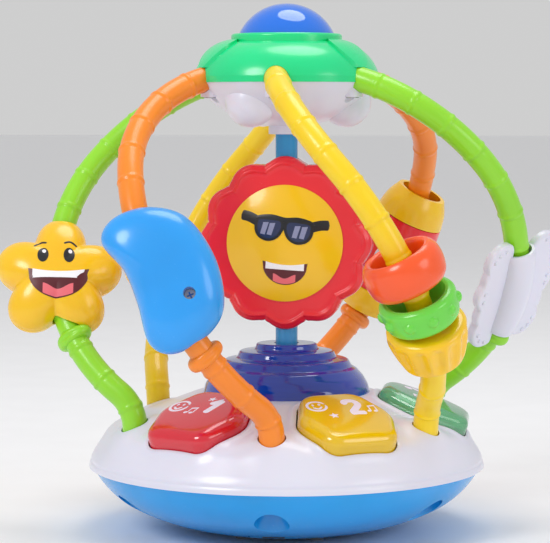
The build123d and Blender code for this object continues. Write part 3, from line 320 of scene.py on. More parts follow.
def polar(radius, degrees, height):
    """Point from a radius, an angle from +X and a height, in metres."""
    turn = math.radians(degrees)
    return np.array([radius * math.cos(turn), radius * math.sin(turn), height]) * MM


def about_z(points, degrees):
    """Points turned about the Z axis."""
    c, s = math.cos(math.radians(degrees)), math.sin(math.radians(degrees))
    return points @ np.array([[c, s, 0], [-s, c, 0], [0, 0, 1]])


hub_edge = np.array([38.0, 0, 188.4]) * MM
leave = unit(np.array([0.949, 0.162, -0.272]))
top_arc = tangent_arc(hub_edge, leave, polar(84.8, 19.5, 153.9))
belly_start, belly_down = (v[0] for v in on_arc(top_arc, top_arc[2]))
belly_arc = tangent_arc(belly_start, belly_down, polar(74.0, 57.2, 60.2))
foot_start, foot_down = (v[0] for v in on_arc(belly_arc, belly_arc[2]))
foot_arc = tangent_arc(foot_start, foot_down, polar(68.7, 61.2, 46.4))
belly_side = unit(np.cross(belly_down, belly_arc[0] - belly_start))
TUBE, COLLAR_ANGLE = 5.15 * MM, math.radians(62.5)
print("belly radius", round(belly_arc[1] / MM, 1), "mm over", round(math.degrees(belly_arc[2])), "degrees")

# %% [markdown]
# ## The arches
# A round bar is swept along the line, and its radius changes with the distance along it: every 17 mm a
# raised joint like a bamboo's, with a fine edge below it. A knot of two lobes near the foot holds the
# sliders up.


# %% Swept bars
def sweep_frames(points, along):
    """Two unit vectors square to a line at each point, from the belly's side direction."""
    first = np.cross(along, belly_side)
    first /= np.linalg.norm(first, axis=1, keepdims=True)
    return first, np.cross(along, first)


def bar(points, along, radius, columns=40):
    """Grid of a round bar: at each point a circle in the two square directions. Radius may vary with both."""
    first, second = sweep_frames(points, along)
    turn = around(columns)
    ring = first[:, None] * np.cos(turn)[None, :, None] + second[:, None] * np.sin(turn)[None, :, None]
    return points[:, None] + ring * np.broadcast_to(radius, (len(points), columns))[..., None]


def closed(grid):
    """A grid with its ends drawn in to their middles."""
    ends = [np.broadcast_to(grid[i].mean(0), grid[i].shape)[None] for i in (0, -1)]
    return np.concatenate([ends[0], grid, ends[1]])


JOINT, JOINT_RISE, JOINT_HALF, STEP = 17.0 * MM, 0.34 * MM, 1.1 * MM, 0.5 * MM
PEG, LEG = 6.5 * MM, 8.8 * MM


def arch_centreline():
    """Points, directions and distances to the nearest joint along peg, three arcs and leg."""
    stretches = []
    peg = np.linspace(-PEG, 0, 10, endpoint=False)[:, None]
    stretches.append((hub_edge + leave * peg, np.broadcast_to(leave, (10, 3)), np.full(10, 1.0)))
    for arc in (top_arc, belly_arc, foot_arc):
        length = arc[1] * arc[2]
        count = round(length / STEP)
        place = (np.arange(count) + 0.5) / count
        points, along = on_arc(arc, place * arc[2])
        joints = max(1, round(length / JOINT))
        nearest = (np.floor(place * joints) + 0.5) / joints
        stretches.append((points, along, (place - nearest) * length))
    end, down = (v[0] for v in on_arc(foot_arc, foot_arc[2]))
    leg = np.linspace(0, LEG, 10)[:, None]
    stretches.append((end + down * leg, np.broadcast_to(down, (10, 3)), np.full(10, 1.0)))
    return [np.concatenate(part) for part in zip(*stretches)]


def knot(lobes_turn):
    """Grid of the two-lobed knot: a bead 5.6 mm long with lobes 2.4 mm proud on two sides."""
    span = np.sin(np.linspace(-np.pi / 2, np.pi / 2, 25))
    points, along = on_arc(belly_arc, COLLAR_ANGLE + span * 2.75 * MM / belly_arc[1])
    turn = around(40)
    lobes = 0.5 + 0.5 * np.cos(2 * (turn - lobes_turn))
    bead = np.sqrt(np.maximum(1 - span ** 2, 0))[:, None] ** 0.7
    waist = 1 - 0.10 * np.exp(-(span / 0.3) ** 2)[:, None] * (1 - lobes)
    return bar(points, along, (TUBE * 0.85 + bead * (1.9 + 1.9 * lobes ** 1.5) * MM) * waist)


line_points, line_along, to_joint = arch_centreline()
joint_bump = JOINT_RISE * np.exp(-(to_joint / (0.75 * JOINT_HALF)) ** 4)
joint_line = -0.12 * MM * np.exp(-((to_joint - 1.35 * JOINT_HALF) / (0.25 * MM)) ** 2)
arch_grid = closed(bar(line_points, line_along, (TUBE + joint_bump + joint_line)[:, None]))
arch_colours = {"arch_front": "yellow", "arch_front_right": "lime", "arch_back_right": "orange",
                "arch_back": "yellow", "arch_back_left": "lime", "arch_front_left": "orange"}
for index, (name, colour) in enumerate(arch_colours.items()):
    spin = -90 + 60 * index
    grids = [(about_z(arch_grid, spin), False), (about_z(closed(knot(0.6)), spin), False)]
    piece(name.replace("arch", "jointed_arch"), grids, arch_finishes[colour], "base", [name])
print("points on an arch:", arch_grid.shape[0] * arch_grid.shape[1])

# %% [markdown]
# ## Places on the arches
# A slider has a plane of its own on the belly: Z up the tube, X to the right and -Y towards its face.


# %% Slider planes
def slider_plane(arch, along_degrees, turn):
    """Origin and the X, Y and Z axes of a slider: Z up the tube, turned about it by an angle."""
    points, along = on_arc(belly_arc, math.radians(along_degrees))
    outward = unit(points[0] - belly_arc[0])
    across = belly_side * math.cos(math.radians(turn)) - outward * math.sin(math.radians(turn))
    up = -along[0]
    axes = about_z(np.stack([across, np.cross(up, across), up]), -90 + 60 * arch)
    return about_z(points, -90 + 60 * arch)[0], axes


def put(plane, local):
    """Local points in metres, placed on a plane."""
    return plane[0] + local @ plane[1]


STOP = 62.5 - math.degrees(2.8 * MM / belly_arc[1]) - 0.15


def above_stop(length, reach=0.0):
    """Belly angle of a slider whose middle is a length above the knot."""
    per_degree = belly_arc[1] / MM * math.radians(1)
    lift = reach * math.sin(length * MM / belly_arc[1])
    return STOP - (length + lift) / per_degree


def bore(arch, radius=6.2):
    """Solid round the belly's line, to cut a slider's way through."""
    points, along = on_arc(belly_arc, np.linspace(math.radians(2), math.radians(66), 60))
    return about_z(closed(bar(points, along, radius * MM)), -90 + 60 * arch)


# %% [markdown]
# ## Puffy shapes
# The star and the moon are pillows: an outline, blown up. Along a ray from the middle to the outline, the
# height falls as the square root of one minus the share of the way to a power. A power of 2 is a ball, and
# a higher one keeps the face flatter and the edge rounder.


# %% Puffy half shells
def catmull_rom(p0, p1, p2, p3, t):
    """Cubic from p1 to p2 whose slope at each is half the step between its neighbours."""
    return 0.5 * (2 * p1 + (p2 - p0) * t + (2 * p0 - 5 * p1 + 4 * p2 - p3) * t ** 2
                  + (3 * p1 - p0 - 3 * p2 + p3) * t ** 3)


def round_outline(points, count=220):
    """Closed smooth curve through points: a Catmull-Rom spline, sampled evenly in its parameter."""
    points = np.array(points, float)
    share = np.linspace(0, len(points), count, endpoint=False)
    first, t = share.astype(int), (share % 1)[:, None]
    return catmull_rom(*(points[(first + k) % len(points)] for k in (-1, 0, 1, 2)), t)


def pillow(outline, middle, depth, power, rows=46):
    """Half of a pillow, as a closed grid of (x, height, z): face from the pole to the edge, then the flat
    back to its middle. The edge is drawn in by 0.25 mm at the parting line."""
    angle = np.linspace(0, np.pi / 2, rows)[:, None]
    share = np.sin(angle) ** (2 / power)
    height = depth * np.cos(angle)
    seam = 1 - 0.010 * np.exp(-(height / 0.45) ** 2)
    rays = outline - middle
    flat = middle + rays[None] * (share * seam)[..., None]
    face = raised(flat, height)
    back = face[-1] * [1, 1, 0]
    centre = np.broadcast_to([*middle, 0], back.shape)
    return np.concatenate([face, back[None], centre[None]]) * MM


def half_shell(name, plane, grid, side, finish, body, node, arch):
    """A pillow half placed with its height towards the face or the back, and bored for its arch."""
    local = np.stack([grid[..., 0], -side * grid[..., 2], grid[..., 1]], -1)
    made = piece(name, [(put(plane, local), False)], finish, body, [node])
    cut(made, [(bore(arch), False)], 50)
    return made


# %% [markdown]
# ## The star
# Five round lobes on a round core. The outline is the furthest of the lobes' circles on each ray, and the
# notches between them are filled by blending with a soft maximum.


# %% Star shells
STAR_LOBE, STAR_REACH, STAR_LEAN = 10.5, 17.5, 8.0
star_clear = STAR_REACH * math.cos(math.radians(36)) + math.sqrt(
    STAR_LOBE ** 2 - (9.8 - STAR_REACH * math.sin(math.radians(36))) ** 2)
star_plane = slider_plane(4, above_stop(star_clear), 94.6)


def lobed(angle, reach, lobe, count, phase, core, sharpness=9.0):
    """Radius of round lobes on a core: on each ray the far side of the nearest circle, softly joined."""
    step = 2 * np.pi / count
    off = (angle - phase + step / 2) % step - step / 2
    aside = [off + k * step for k in (-1, 0, 1)]
    far = [reach * np.cos(a) + np.sqrt(np.maximum(lobe ** 2 - (reach * np.sin(a)) ** 2, 0)) for a in aside]
    return np.log(sum(np.exp(r / reach * sharpness) for r in [*far, core])) * reach / sharpness


star_turn = around(240)
star_phase = math.radians(90 - STAR_LEAN)


def star_radius(angle):
    """Star's outline radius in millimetres at an angle from its X axis."""
    return lobed(angle, STAR_REACH, STAR_LOBE, 5, star_phase, 19.5) - 0.9


star_outline = star_radius(star_turn)[:, None] * rays(star_turn)
STAR_DEPTH, STAR_POWER = 12.8, 2.9
star_half = pillow(star_outline, np.zeros(2), STAR_DEPTH, STAR_POWER)
for side, node in ((1, "star_front"), (-1, "star_back")):
    half_shell("puffy_" + node, star_plane, star_half, side, yellow_abs, "star", node, 4)


def star_height(x, z):
    """Height of the star's face above its parting plane, in millimetres."""
    share = np.hypot(x, z) / star_radius(np.arctan2(z, x))
    return STAR_DEPTH * np.sqrt(np.maximum(1 - share ** STAR_POWER, 0))


# %% [markdown]
# ## Printed faces
# A printed patch is a very thin slab that follows the surface under it: an outline filled from its middle,
# lifted a tenth of a millimetre off the face, with its underside sunk into it. A stroke is a narrow slab
# along a line, with its ends drawn to a point.


# %% Patches and strokes
def patch(outline, height, middle=None, lift=0.12, rows=9):
    """Closed slab over an outline of (x, z) millimetres: bottom out to the edge, top back to the middle."""
    middle = outline.mean(0) if middle is None else np.array(middle, float)
    share = np.linspace(0, 1, rows)[:, None, None]
    flat = middle + (outline - middle)[None] * share
    level = height(flat[..., 0], flat[..., 1])
    low = np.stack([flat[..., 0], -(level - 0.25), flat[..., 1]], -1)
    high = np.stack([flat[..., 0], -(level + lift), flat[..., 1]], -1)
    return np.concatenate([low, high[::-1]]) * MM


def stroke(points, width, height, lift=0.14, count=40):
    """Closed slab along a smooth line through points, its width falling to nothing at both ends."""
    points = np.array(points, float)
    share = np.linspace(0, len(points) - 1, count)
    line = np.stack([smooth_through(points[:, k], share) for k in (0, 1)], -1)
    along = np.gradient(line, axis=0)
    along /= np.linalg.norm(along, axis=1, keepdims=True)
    across = np.stack([-along[:, 1], along[:, 0]], -1)
    ends = np.minimum(np.arange(count), np.arange(count)[::-1]) / (0.12 * count)
    half = (width / 2 * np.sqrt(np.minimum(ends, 1) * (2 - np.minimum(ends, 1))))[:, None]
    sides = np.stack([line + across * half, line, line - across * half, line], 1)
    level = height(sides[..., 0], sides[..., 1]) + np.array([0.0, lift, 0.0, -0.25])
    return np.stack([sides[..., 0], -level, sides[..., 1]], -1) * MM


def smooth_through(values, share):
    """Catmull-Rom value at places along a row of values, its ends held."""
    first = np.minimum(share.astype(int), len(values) - 2)
    t = share - first
    held = np.concatenate([values[:1] * 2 - values[1:2], values, values[-1:] * 2 - values[-2:-1]])
    return catmull_rom(*(held[first + k] for k in range(4)), t)


def oval(x, z, rx, rz, turn=0.0, count=48):
    """Outline of an ellipse, turned by degrees."""
    angle = around(count)
    c, s = math.cos(math.radians(turn)), math.sin(math.radians(turn))
    return np.stack([x + rx * np.cos(angle) * c - rz * np.sin(angle) * s,
                     z + rx * np.cos(angle) * s + rz * np.sin(angle) * c], -1)


def smile(x, z, half_width, drop, turn=0.0, sag=0.12):
    """Outlines of an open smile, its teeth and its tongue: a half moon under a slightly bowed top."""
    across = np.linspace(-1, 1, 41)
    top = -sag * drop * (1 - across ** 2)
    low = -drop * np.sqrt(np.maximum(1 - across ** 2, 0)) ** 0.9
    c, s = math.cos(math.radians(turn)), math.sin(math.radians(turn))

    def placed(u, v):
        """Turned and moved outline."""
        return np.stack([x + half_width * u * c - v * s, z + half_width * u * s + v * c], -1)

    mouth = placed(np.concatenate([across, across[-2:0:-1]]), np.concatenate([top, low[-2:0:-1]]))
    inner = across[2:-2] * 0.95
    band = np.maximum(low[2:-2], -0.34 * drop) * 0.98
    teeth = placed(np.concatenate([inner, inner[::-1]]), np.concatenate([top[2:-2], band[::-1]]))
    lick = across[10:-10] * 1.0
    rise = -0.62 * drop - 0.10 * drop * np.cos(lick * 6)
    tongue = placed(np.concatenate([lick, lick[::-1]]), np.concatenate([rise, (low[10:-10] * 0.96)[::-1]]))
    return mouth, teeth, tongue


def printed(name, grids, plane, finish, body):
    """A printed piece on a plane."""
    return piece(name, [(put(plane, grid), False) for grid in grids], finish, body, sharp=60)


def printed_smile(name, outlines, height, plane, body):
    """A mouth, and its teeth and tongue printed a little higher over it."""
    layers = (("mouth", 0.12, mouth_ink), ("teeth", 0.2, white_ink), ("tongue", 0.2, tongue_ink))
    for (part, lift, colour), outline in zip(layers, outlines):
        printed(name.format(part), [patch(outline, height, lift=lift)], plane, colour, body)


# %% Star's face
STAR_TILT = -6.0
printed_smile("star_{}", smile(0.4, -0.2, 12.6, 13.0, STAR_TILT), star_height, star_plane, "star")
eyes = [patch(oval(x, z, 2.3, 3.4, STAR_TILT), star_height) for x, z in ((-5.6, 6.6), (5.2, 5.4))]
brows = [stroke([(-9.2, 11.4), (-6.4, 13.0), (-3.6, 12.2)], 0.9, star_height),
         stroke([(3.4, 11.2), (6.2, 11.6), (8.8, 9.6)], 0.9, star_height)]
printed("star_eyes", eyes + brows, star_plane, black_ink, "star")
glints = [patch(oval(x, z, 0.8, 0.9), star_height, lift=0.22) for x, z in ((-5.0, 8.2), (5.8, 7.0))]
printed("star_eye_glints", glints, star_plane, white_ink, "star")

# %% [markdown]
# ## The moon
# A thick crescent with broad flat flanks. It is the same pillow with a higher power, so its face is
# flatter, and its outline is a smooth curve through a few points in its own plane.

# %% Moon shells
moon_plane = slider_plane(5, above_stop(28.4, 8.8), 212.4)
moon_points = [(13.8, 23), (6, 29.5), (-8, 28), (-20, 18), (-23.5, -1), (-19, -19), (-9, -27), (6, -28.4),
               (13.5, -21), (11.3, -5), (10.6, 9)]
moon_outline = round_outline(moon_points)
moon_middle = np.array([-5.0, 0.0])
WELL_PLACE, WELL_RADIUS = (-8.6, -11), 2.4
for side, depth, node in ((1, 13.0, "moon_front"), (-1, 11.0, "moon_back")):
    half = pillow(moon_outline, moon_middle, depth, 3.4)
    made = half_shell("puffy_" + node, moon_plane, half, side, moon_abs, "moon", node, 5)
    if side == -1:
        well = np.array(WELL_PLACE) + WELL_RADIUS * rays(around(32))
        ends = [np.stack([well[:, 0], np.full(32, y), well[:, 1]], -1) * MM for y in (4, 20)]
        cut(made, [(put(moon_plane, closed(np.stack(ends))), False)], 50)

# %% [markdown]
# ## The sun
# Two scalloped half discs back to back on the post, each with a raised line inside its edge and a domed
# face in its middle. The outline is the far side of the nearest scallop's circle on each ray.

# %% Sun discs and faces
SUN_Z, SUN_RADIUS, SCALLOP, DISC_HALF, FACE_RADIUS, FACE_RISE = 120.6, 36.7, 9.6, 8.0, 24.4, 5.0
sun_turn = around(360)
off = (sun_turn + np.pi / 12) % (np.pi / 6) - np.pi / 12
reach = SUN_RADIUS - SCALLOP
sun_edge = reach * np.cos(off) + np.sqrt(SCALLOP ** 2 - (reach * np.sin(off)) ** 2)
notch = 1.1 * np.exp(-((np.abs(off) - np.pi / 12) / 0.05) ** 2)
sun_edge = sun_edge + notch - 0.3


def sun_disc():
    """Closed half disc of (x, z, height): flat middle, raised line, rounded edge, side wall, flat back."""
    inset = np.array([36, 12, 6, 4.4, 3.9, 3.5, 3.1, 2.7, 2.3, 1.9,
                      1.5, 1.1, 0.7, 0.35, 0.1, 0, 0, 0, 0.25, 36.0])
    height = np.array([8, 8, 8, 8, 8.15, 8.5, 8.75, 8.8, 8.6, 8.2,
                       7.95, 7.8, 7.45, 6.9, 6.2, 5.3, 3, 0.5, 0, 0])
    height = np.maximum(height - 0.8, 0) * (DISC_HALF / 8.0)
    radius = np.maximum(sun_edge[None] - inset[:, None], 0)
    return raised(radius[..., None] * rays(sun_turn)[None], height[:, None]) * MM


def sun_face(rows=28):
    """Closed domed face: a cap of a ball over a flat back."""
    ball = (FACE_RADIUS ** 2 + FACE_RISE ** 2) / (2 * FACE_RISE)
    radius = np.append(FACE_RADIUS * np.sin(np.linspace(0, np.pi / 2, rows)), [FACE_RADIUS, 0])
    height = 7.0 + np.append(FACE_RISE - ball + np.sqrt(ball ** 2 - radius[:rows] ** 2) + 0.95, [0, 0])
    height[rows - 1] -= 0.25
    return raised(radius[:, None, None] * rays(around(96))[None], height[:, None]) * MM


def sun_height(x, z):
    """Height of the domed face above the sun's middle plane, in millimetres."""
    ball = (FACE_RADIUS ** 2 + FACE_RISE ** 2) / (2 * FACE_RISE)
    return 7.95 + FACE_RISE - ball + np.sqrt(np.maximum(ball ** 2 - x ** 2 - z ** 2, 0))


def sun_plane(side):
    """The sun's plane, its face towards the front for 1 and the back for -1."""
    return np.array([0, 0, SUN_Z * MM]), np.array([[side, 0, 0], [0, side, 0], [0, 0, 1.0]])


def upright(grid):
    """Grid of (x, z, height) turned into (x, y, z) with its height towards the face."""
    return np.stack([grid[..., 0], -grid[..., 2], grid[..., 1]], -1)


post_points = np.linspace(-45, 45, 12)[:, None] * np.array([[0, 0, MM]])
post_hole = closed(raised(5.0 * MM * rays(around(40))[None], 0) + post_points[:, None])
sun_lens = np.array([(-9.6, 3.6), (-5.0, 4.2), (-0.2, 3.9), (0.6, 1.0), (-1.2, -2.6), (-4.6, -4.2),
                     (-8.2, -3.2), (-10.0, -0.4)])
for side, view in ((1, "front"), (-1, "back")):
    plane = sun_plane(side)
    disc = piece(f"scalloped_sun_{view}", [(put(plane, upright(sun_disc())), False)], red_abs, "sun",
                 [f"sun_{view}_disc"], sharp=50)
    cut(disc, [(put(sun_plane(1), post_hole), False)], 50)
    piece(f"domed_sun_face_{view}", [(put(plane, upright(sun_face())), False)], yellow_abs, "sun",
          [f"sun_face_{view}"], sharp=50)
    tilt = math.radians(7.0)
    lean = np.array([[math.cos(tilt), -math.sin(tilt)], [math.sin(tilt), math.cos(tilt)]])
    left = round_outline(sun_lens + [-1.4, 0], 80)
    right = round_outline(sun_lens * [-1, 1] + [1.4, 0], 80)
    rise = np.array([0, 5.4])
    frames = [patch((1.16 * (lens - lens.mean(0)) + lens.mean(0)) @ lean + rise, sun_height, lift=0.25)
              for lens in (left, right)]
    bar_points = np.array([(-13, 3.6), (-6, 4.9), (0, 4.3), (6, 4.9), (13, 3.6)])
    bridge = stroke(bar_points @ lean + rise, 2.6, sun_height, 0.3)
    arm = np.array([(11, 2.6), (15, 4.0), (18.6, 4.4)])
    temples = [stroke((arm * [s, 1]) @ lean + rise, 4.2, sun_height, 0.28) for s in (-1, 1)]
    printed(f"sun_glasses_frame_{view}", frames + [bridge] + temples, plane, black_ink, "sun")
    lenses = [patch((0.92 * (lens - lens.mean(0)) + lens.mean(0)) @ lean + rise, sun_height, lift=0.34)
              for lens in (left, right)]
    printed(f"sun_glasses_lenses_{view}", lenses, plane, lens_ink, "sun")
    glint = np.array([(-1.4, 2.6), (0.9, 2.9), (-0.2, -2.4), (-2.2, -2.2)])
    shine = [patch((glint + [dx, 0]) @ lean + rise, sun_height, lift=0.42, rows=4)
             for dx in (-7.4, -4.6, 6.0, 9.0)]
    printed(f"sun_glasses_glints_{view}", shine, plane, glint_ink, "sun")
    printed_smile("sun_{}_" + view, smile(0.6, -7.6, 9.4, 9.6, -4.0), sun_height, plane, "sun")

# %% [markdown]
# ## The rings
# Three rings ride one above the other: a plain barrel, a cup with small knobs, and a fluted bowl that
# tapers down. Each is a profile turned about the ring's axis; knobs and flutes only change its radius
# with the turn.


# %% Turned rings
RING_ROWS = 110


def turned(profile, relief=None, columns=240):
    """Closed ring of (x, y, z) from a loop of (radius, height) in millimetres. relief(turn, height) adds to
    the radius where the wall is on the outside."""
    loop = round_outline(profile, RING_ROWS)
    turn = around(columns)
    radius = np.broadcast_to(loop[:, :1], (RING_ROWS, columns)).copy()
    if relief is not None:
        outside = np.clip((loop[:, :1] - 12.4) / 2.0, 0, 1)
        radius += relief(turn[None], loop[:, 1:]) * outside
    height = np.broadcast_to(loop[:, 1:], radius.shape)
    return np.stack([radius * np.cos(turn), radius * np.sin(turn), height], -1) * MM


def knobs(turn, height):
    """Ten round knobs 4.4 mm wide and 1.5 mm proud, round the middle of the wall."""
    step = 2 * np.pi / 10
    aside = ((turn + step / 2) % step - step / 2) * 15.5
    return 1.5 * np.sqrt(np.maximum(1 - (aside ** 2 + (height - 0.3) ** 2) / 2.2 ** 2, 0))


def flutes(turn, height):
    """Fourteen rounded flutes, fading at the top edge."""
    return -1.5 * (0.5 - 0.5 * np.cos(14 * turn)) ** 0.8 * np.clip((5.0 - height) / 3.0, 0, 1)


heights = {"yellow": 10.0, "green": 13.0, "orange": 16.0}
per_degree = belly_arc[1] / MM * math.radians(1)
ring_angle = above_stop(heights["yellow"] / 2, 8.8) + heights["yellow"] / 2 / per_degree
below, ring_angles = 0.0, {}
for colour, height in heights.items():
    bend = (below + height) / 2 * MM / belly_arc[1]
    lift = 12.5 * math.tan(bend) + 0.3 if below else 0.0
    ring_angles[colour] = ring_angle - (lift + height / 2) / per_degree
    ring_angle -= (lift + height) / per_degree
    below = height
ring_shapes = {
    "orange": ([(12.0, 7.6), (13.6, 7.4), (15.6, 4.6), (16.2, 0), (15.4, -4.8), (13.4, -7.5), (11.8, -7.7),
                (10.9, -6), (10.5, 0), (11.0, 6.2)], None, orange_abs, "orange_abs"),
    "green": ([(12.4, 6.2), (13.8, 6.1), (15.4, 4.4), (15.4, 0), (14.6, -4.4), (12.8, -6.2), (11.6, -6.2),
               (10.7, -5), (10.6, 0), (11.6, 5.2)], knobs, green_abs, "green_abs"),
    "yellow": ([(9.0, 6.4), (13.2, 6.6), (15.7, 5.2), (16.1, 1.6), (14.6, -4.8), (12.6, -10.4), (11.0, -10.8),
                (10.0, -9.4), (10.0, -5.4), (8.0, -4.6), (6.6, -4.0), (6.6, 5.6)], flutes, yellow_abs,
               "yellow_abs")}
for colour, (profile, relief, finish, slot) in ring_shapes.items():
    plane = slider_plane(0, ring_angles[colour], 0)
    piece(f"shaped_ring_{colour}", [(put(plane, turned(profile, relief)), True)], finish, f"ring_{colour}",
          [f"ring_{colour}"], sharp=50)

# %% [markdown]
# ## The butterfly
# A curved sleeve rides on the tube, and two scalloped wing plates stand out from it. A row of small dots
# follows each wing's edge.

# %% Butterfly sleeve and wings
butterfly_angle = above_stop(20.0)
butterfly_plane = slider_plane(1, butterfly_angle, -140.0)
half_sleeve = 20.0 * MM / belly_arc[1]
sleeve_place = math.radians(butterfly_angle) + np.linspace(-half_sleeve, half_sleeve, 40)
sleeve_points, sleeve_along = on_arc(belly_arc, sleeve_place)
sleeve_edge = 0.5 * np.linspace(-1, 1, 40)[:, None] ** 20
sleeve = [bar(sleeve_points, sleeve_along, (8.1 - sleeve_edge) * MM),
          bar(sleeve_points, sleeve_along, np.full((40, 1), 6.5 * MM))[::-1]]
sleeve_grid = about_z(np.concatenate(sleeve), -90 + 60)
wing_lobes = [(12, 17.5), (13.5, 1), (11, -18)]


def wing(side, rows=16):
    """Closed wing plate: on each ray from the wing's middle, the far side of the furthest lobe."""
    ray = rays(around(200))
    middle = np.array([9.5, 0])
    centres = np.array(wing_lobes + [(11.5, 9.5), (11, -9.5)]) - middle
    near = centres @ ray.T
    aside = centres @ np.stack([-ray[:, 1], ray[:, 0]])
    far = np.where(np.abs(aside) < 8.2, near + np.sqrt(np.maximum(8.2 ** 2 - aside ** 2, 0)), 0)
    edge = np.log(np.exp(far / 0.8).sum(0)) * 0.8
    round_off = np.linspace(0, np.pi / 2, 9)
    share = np.append(np.linspace(0, 0.90, rows), 0.90 + 0.10 * np.sin(round_off[1:]))
    level = np.append(np.full(rows, 2.1), 0.9 + 1.2 * np.cos(round_off[1:]))
    radius = share[:, None] * edge[None]
    flat = (middle + radius[..., None] * ray[None]) * [side, 1]
    top = raised(flat, level[:, None])
    return np.concatenate([top, (top * [1, 1, -1])[::-1][1:]]) * MM


def wing_dots(side):
    """Small domes along the wing's edge, on both faces."""
    dots = []
    lobe_turns = zip(wing_lobes, ((0.2, 0.9, 1.6), (-0.4, 0.4), (-1.5, -0.8, -0.1)))
    rise = np.linspace(0, np.pi / 2, 7)[:, None]
    dome = 0.95 * np.sin(rise)[..., None] * rays(around(20))
    for middle, turn in [(middle, turn) for middle, turns in lobe_turns for turn in turns]:
        place = (np.array(middle) + 5.2 * rays(turn)) * [side, 1]
        dots += [raised(place + dome, face * (2.0 + 0.75 * np.cos(rise))) * MM for face in (1, -1)]
    return [np.concatenate([dot, np.broadcast_to(dot[-1].mean(0), dot[-1].shape)[None]]) for dot in dots]


def on_wing(grid):
    """Wing coordinates (out from the tube, up, across the plate) as the slider's own."""
    return np.stack([grid[..., 2], -grid[..., 0], grid[..., 1]], -1)


wings = [wing(side) for side in (1, -1)]
plates = piece("butterfly_wings", [(put(butterfly_plane, on_wing(w)), False) for w in wings], white_abs,
               "butterfly", sharp=50)
cut(plates, [(bore(1, 6.6), False)], 50)
piece("butterfly_sleeve", [(sleeve_grid, True)], white_abs, "butterfly", ["butterfly"])
dots = [(put(butterfly_plane, on_wing(dot)), False) for side in (1, -1) for dot in wing_dots(side)]
piece("butterfly_dots", dots, white_abs, "butterfly")

# %% [markdown]
# ## The rocket
# Three turned shells on the tube: skirt, body and nose. Each is a wall of even thickness under a smooth
# line, turned about the rocket's own axis. A round window sits on its face.


# %% Turned walls
def softened(points, reach, count, loop=False):
    """Even samples along a polyline, each averaged over a reach along it, so corners become soft bends."""
    points = np.array(points, float)
    if loop:
        points = np.concatenate([points, points[:1]])
    steps = np.append(0, np.cumsum(np.linalg.norm(np.diff(points, axis=0), axis=1)))
    place = np.linspace(0, steps[-1], 2001)
    fine = np.stack([np.interp(place, steps, points[:, k]) for k in (0, 1)], -1)
    half = max(1, int(reach / steps[-1] * 1000))
    before, after = (fine[-half - 1:-1], fine[1:half + 1]) if loop else (
        2 * fine[0] - fine[half:0:-1], 2 * fine[-1] - fine[-2:-half - 2:-1])
    total = np.cumsum(np.concatenate([[[0, 0]], before, fine, after]), axis=0)
    smooth = (total[2 * half + 1:] - total[:-2 * half - 1]) / (2 * half + 1)
    return smooth[np.linspace(0, 2000, count + (1 if loop else 0)).astype(int)[:count]]


def lathe(loop, columns=120):
    """Closed profile of (radius, height) in millimetres, turned about Z, as points in metres."""
    turn = around(columns)
    return raised(loop[:, :1, None] * rays(turn), loop[:, 1:]) * MM


def walled(points, wall, count=30):
    """Closed profile of a wall under a smooth line of (radius, height)."""
    points = np.array(points, float)
    share = np.linspace(0, len(points) - 1, count)
    outer = np.stack([smooth_through(points[:, k], share) for k in (0, 1)], -1)
    return softened(np.concatenate([outer, (outer - [wall, 0])[::-1]]), 0.5, 110, loop=True)


# %% Rocket shells and window
tube_plane = slider_plane(2, above_stop(29.5, 8.8), -156.3)
inward = unit(about_z(belly_arc[0][None], 30)[0] - tube_plane[0])
rocket_plane = (tube_plane[0] + 2.8 * MM * inward, tube_plane[1])
rocket_lines = {"rocket_skirt": ([(12.4, -29.4), (14.4, -25), (14.7, -18.1)], yellow_abs, "yellow_abs"),
                "rocket_body": ([(14.6, -17.9), (16.5, -8), (17.1, 4), (15.5, 18)], red_abs, "red_abs"),
                "rocket_nose": ([(15.6, 18.2), (14.1, 25), (11.2, 31.0)], yellow_abs, "yellow_abs")}
for name, (points, finish, slot) in rocket_lines.items():
    piece("turned_" + name, [(put(rocket_plane, lathe(walled(points, 2.0))), True)], finish, "rocket",
          [name])

rim = softened([(4.7, 14.0), (4.7, 17.6), (6.5, 17.9), (6.9, 14.0)], 0.9, 60, loop=True)
piece("rocket_window_rim", [(put(rocket_plane, upright(lathe(rim, 72))), True)], white_abs, "rocket",
      ["porthole_rim"])
pane = np.array([(0, 15.0), (4.8, 15.0), (4.8, 16.4), (4.0, 16.9), (2.0, 17.2), (0, 17.3)])
piece("rocket_window_pane", [(put(rocket_plane, upright(lathe(pane, 72))), False)], navy_clear, "rocket",
      ["porthole_pane"])

# %% [markdown]
# ## The deck
# The white deck is a lathe form too, but not a plain one: it swells softly round each arch's foot and has
# a low lip round each button. The swellings are added to the height of the turned surface, the wall gets
# an inner face, and the button openings and the feet's sockets are cut out of it.


# %% Button planes and outline
DECK_TOP, SHOULDER, RIM, PARTING = (37, 58.0), (74.5, 43.6), 83.3, 26.95
BUTTON_MIDDLE, BUTTON_RISE, BUTTON_LENGTH = 57.75, 6.0, 19.0


def button_plane(degrees):
    """Origin and axes of a button's top: X to the right, -Y out of the deck, Z up the slope."""
    tilt = math.atan2(DECK_TOP[1] - SHOULDER[1], SHOULDER[0] - DECK_TOP[0])
    out = np.array([*rays(math.radians(-90 + degrees)), 0])
    down = out * math.cos(tilt) - np.array([0, 0, math.sin(tilt)])
    normal = out * math.sin(tilt) + np.array([0, 0, math.cos(tilt)])
    height = DECK_TOP[1] - (BUTTON_MIDDLE - DECK_TOP[0]) * math.tan(tilt)
    origin = (out * BUTTON_MIDDLE + np.array([0, 0, height]) + normal * BUTTON_RISE) * MM
    return origin, np.stack([np.cross(normal, down), -normal, -down])


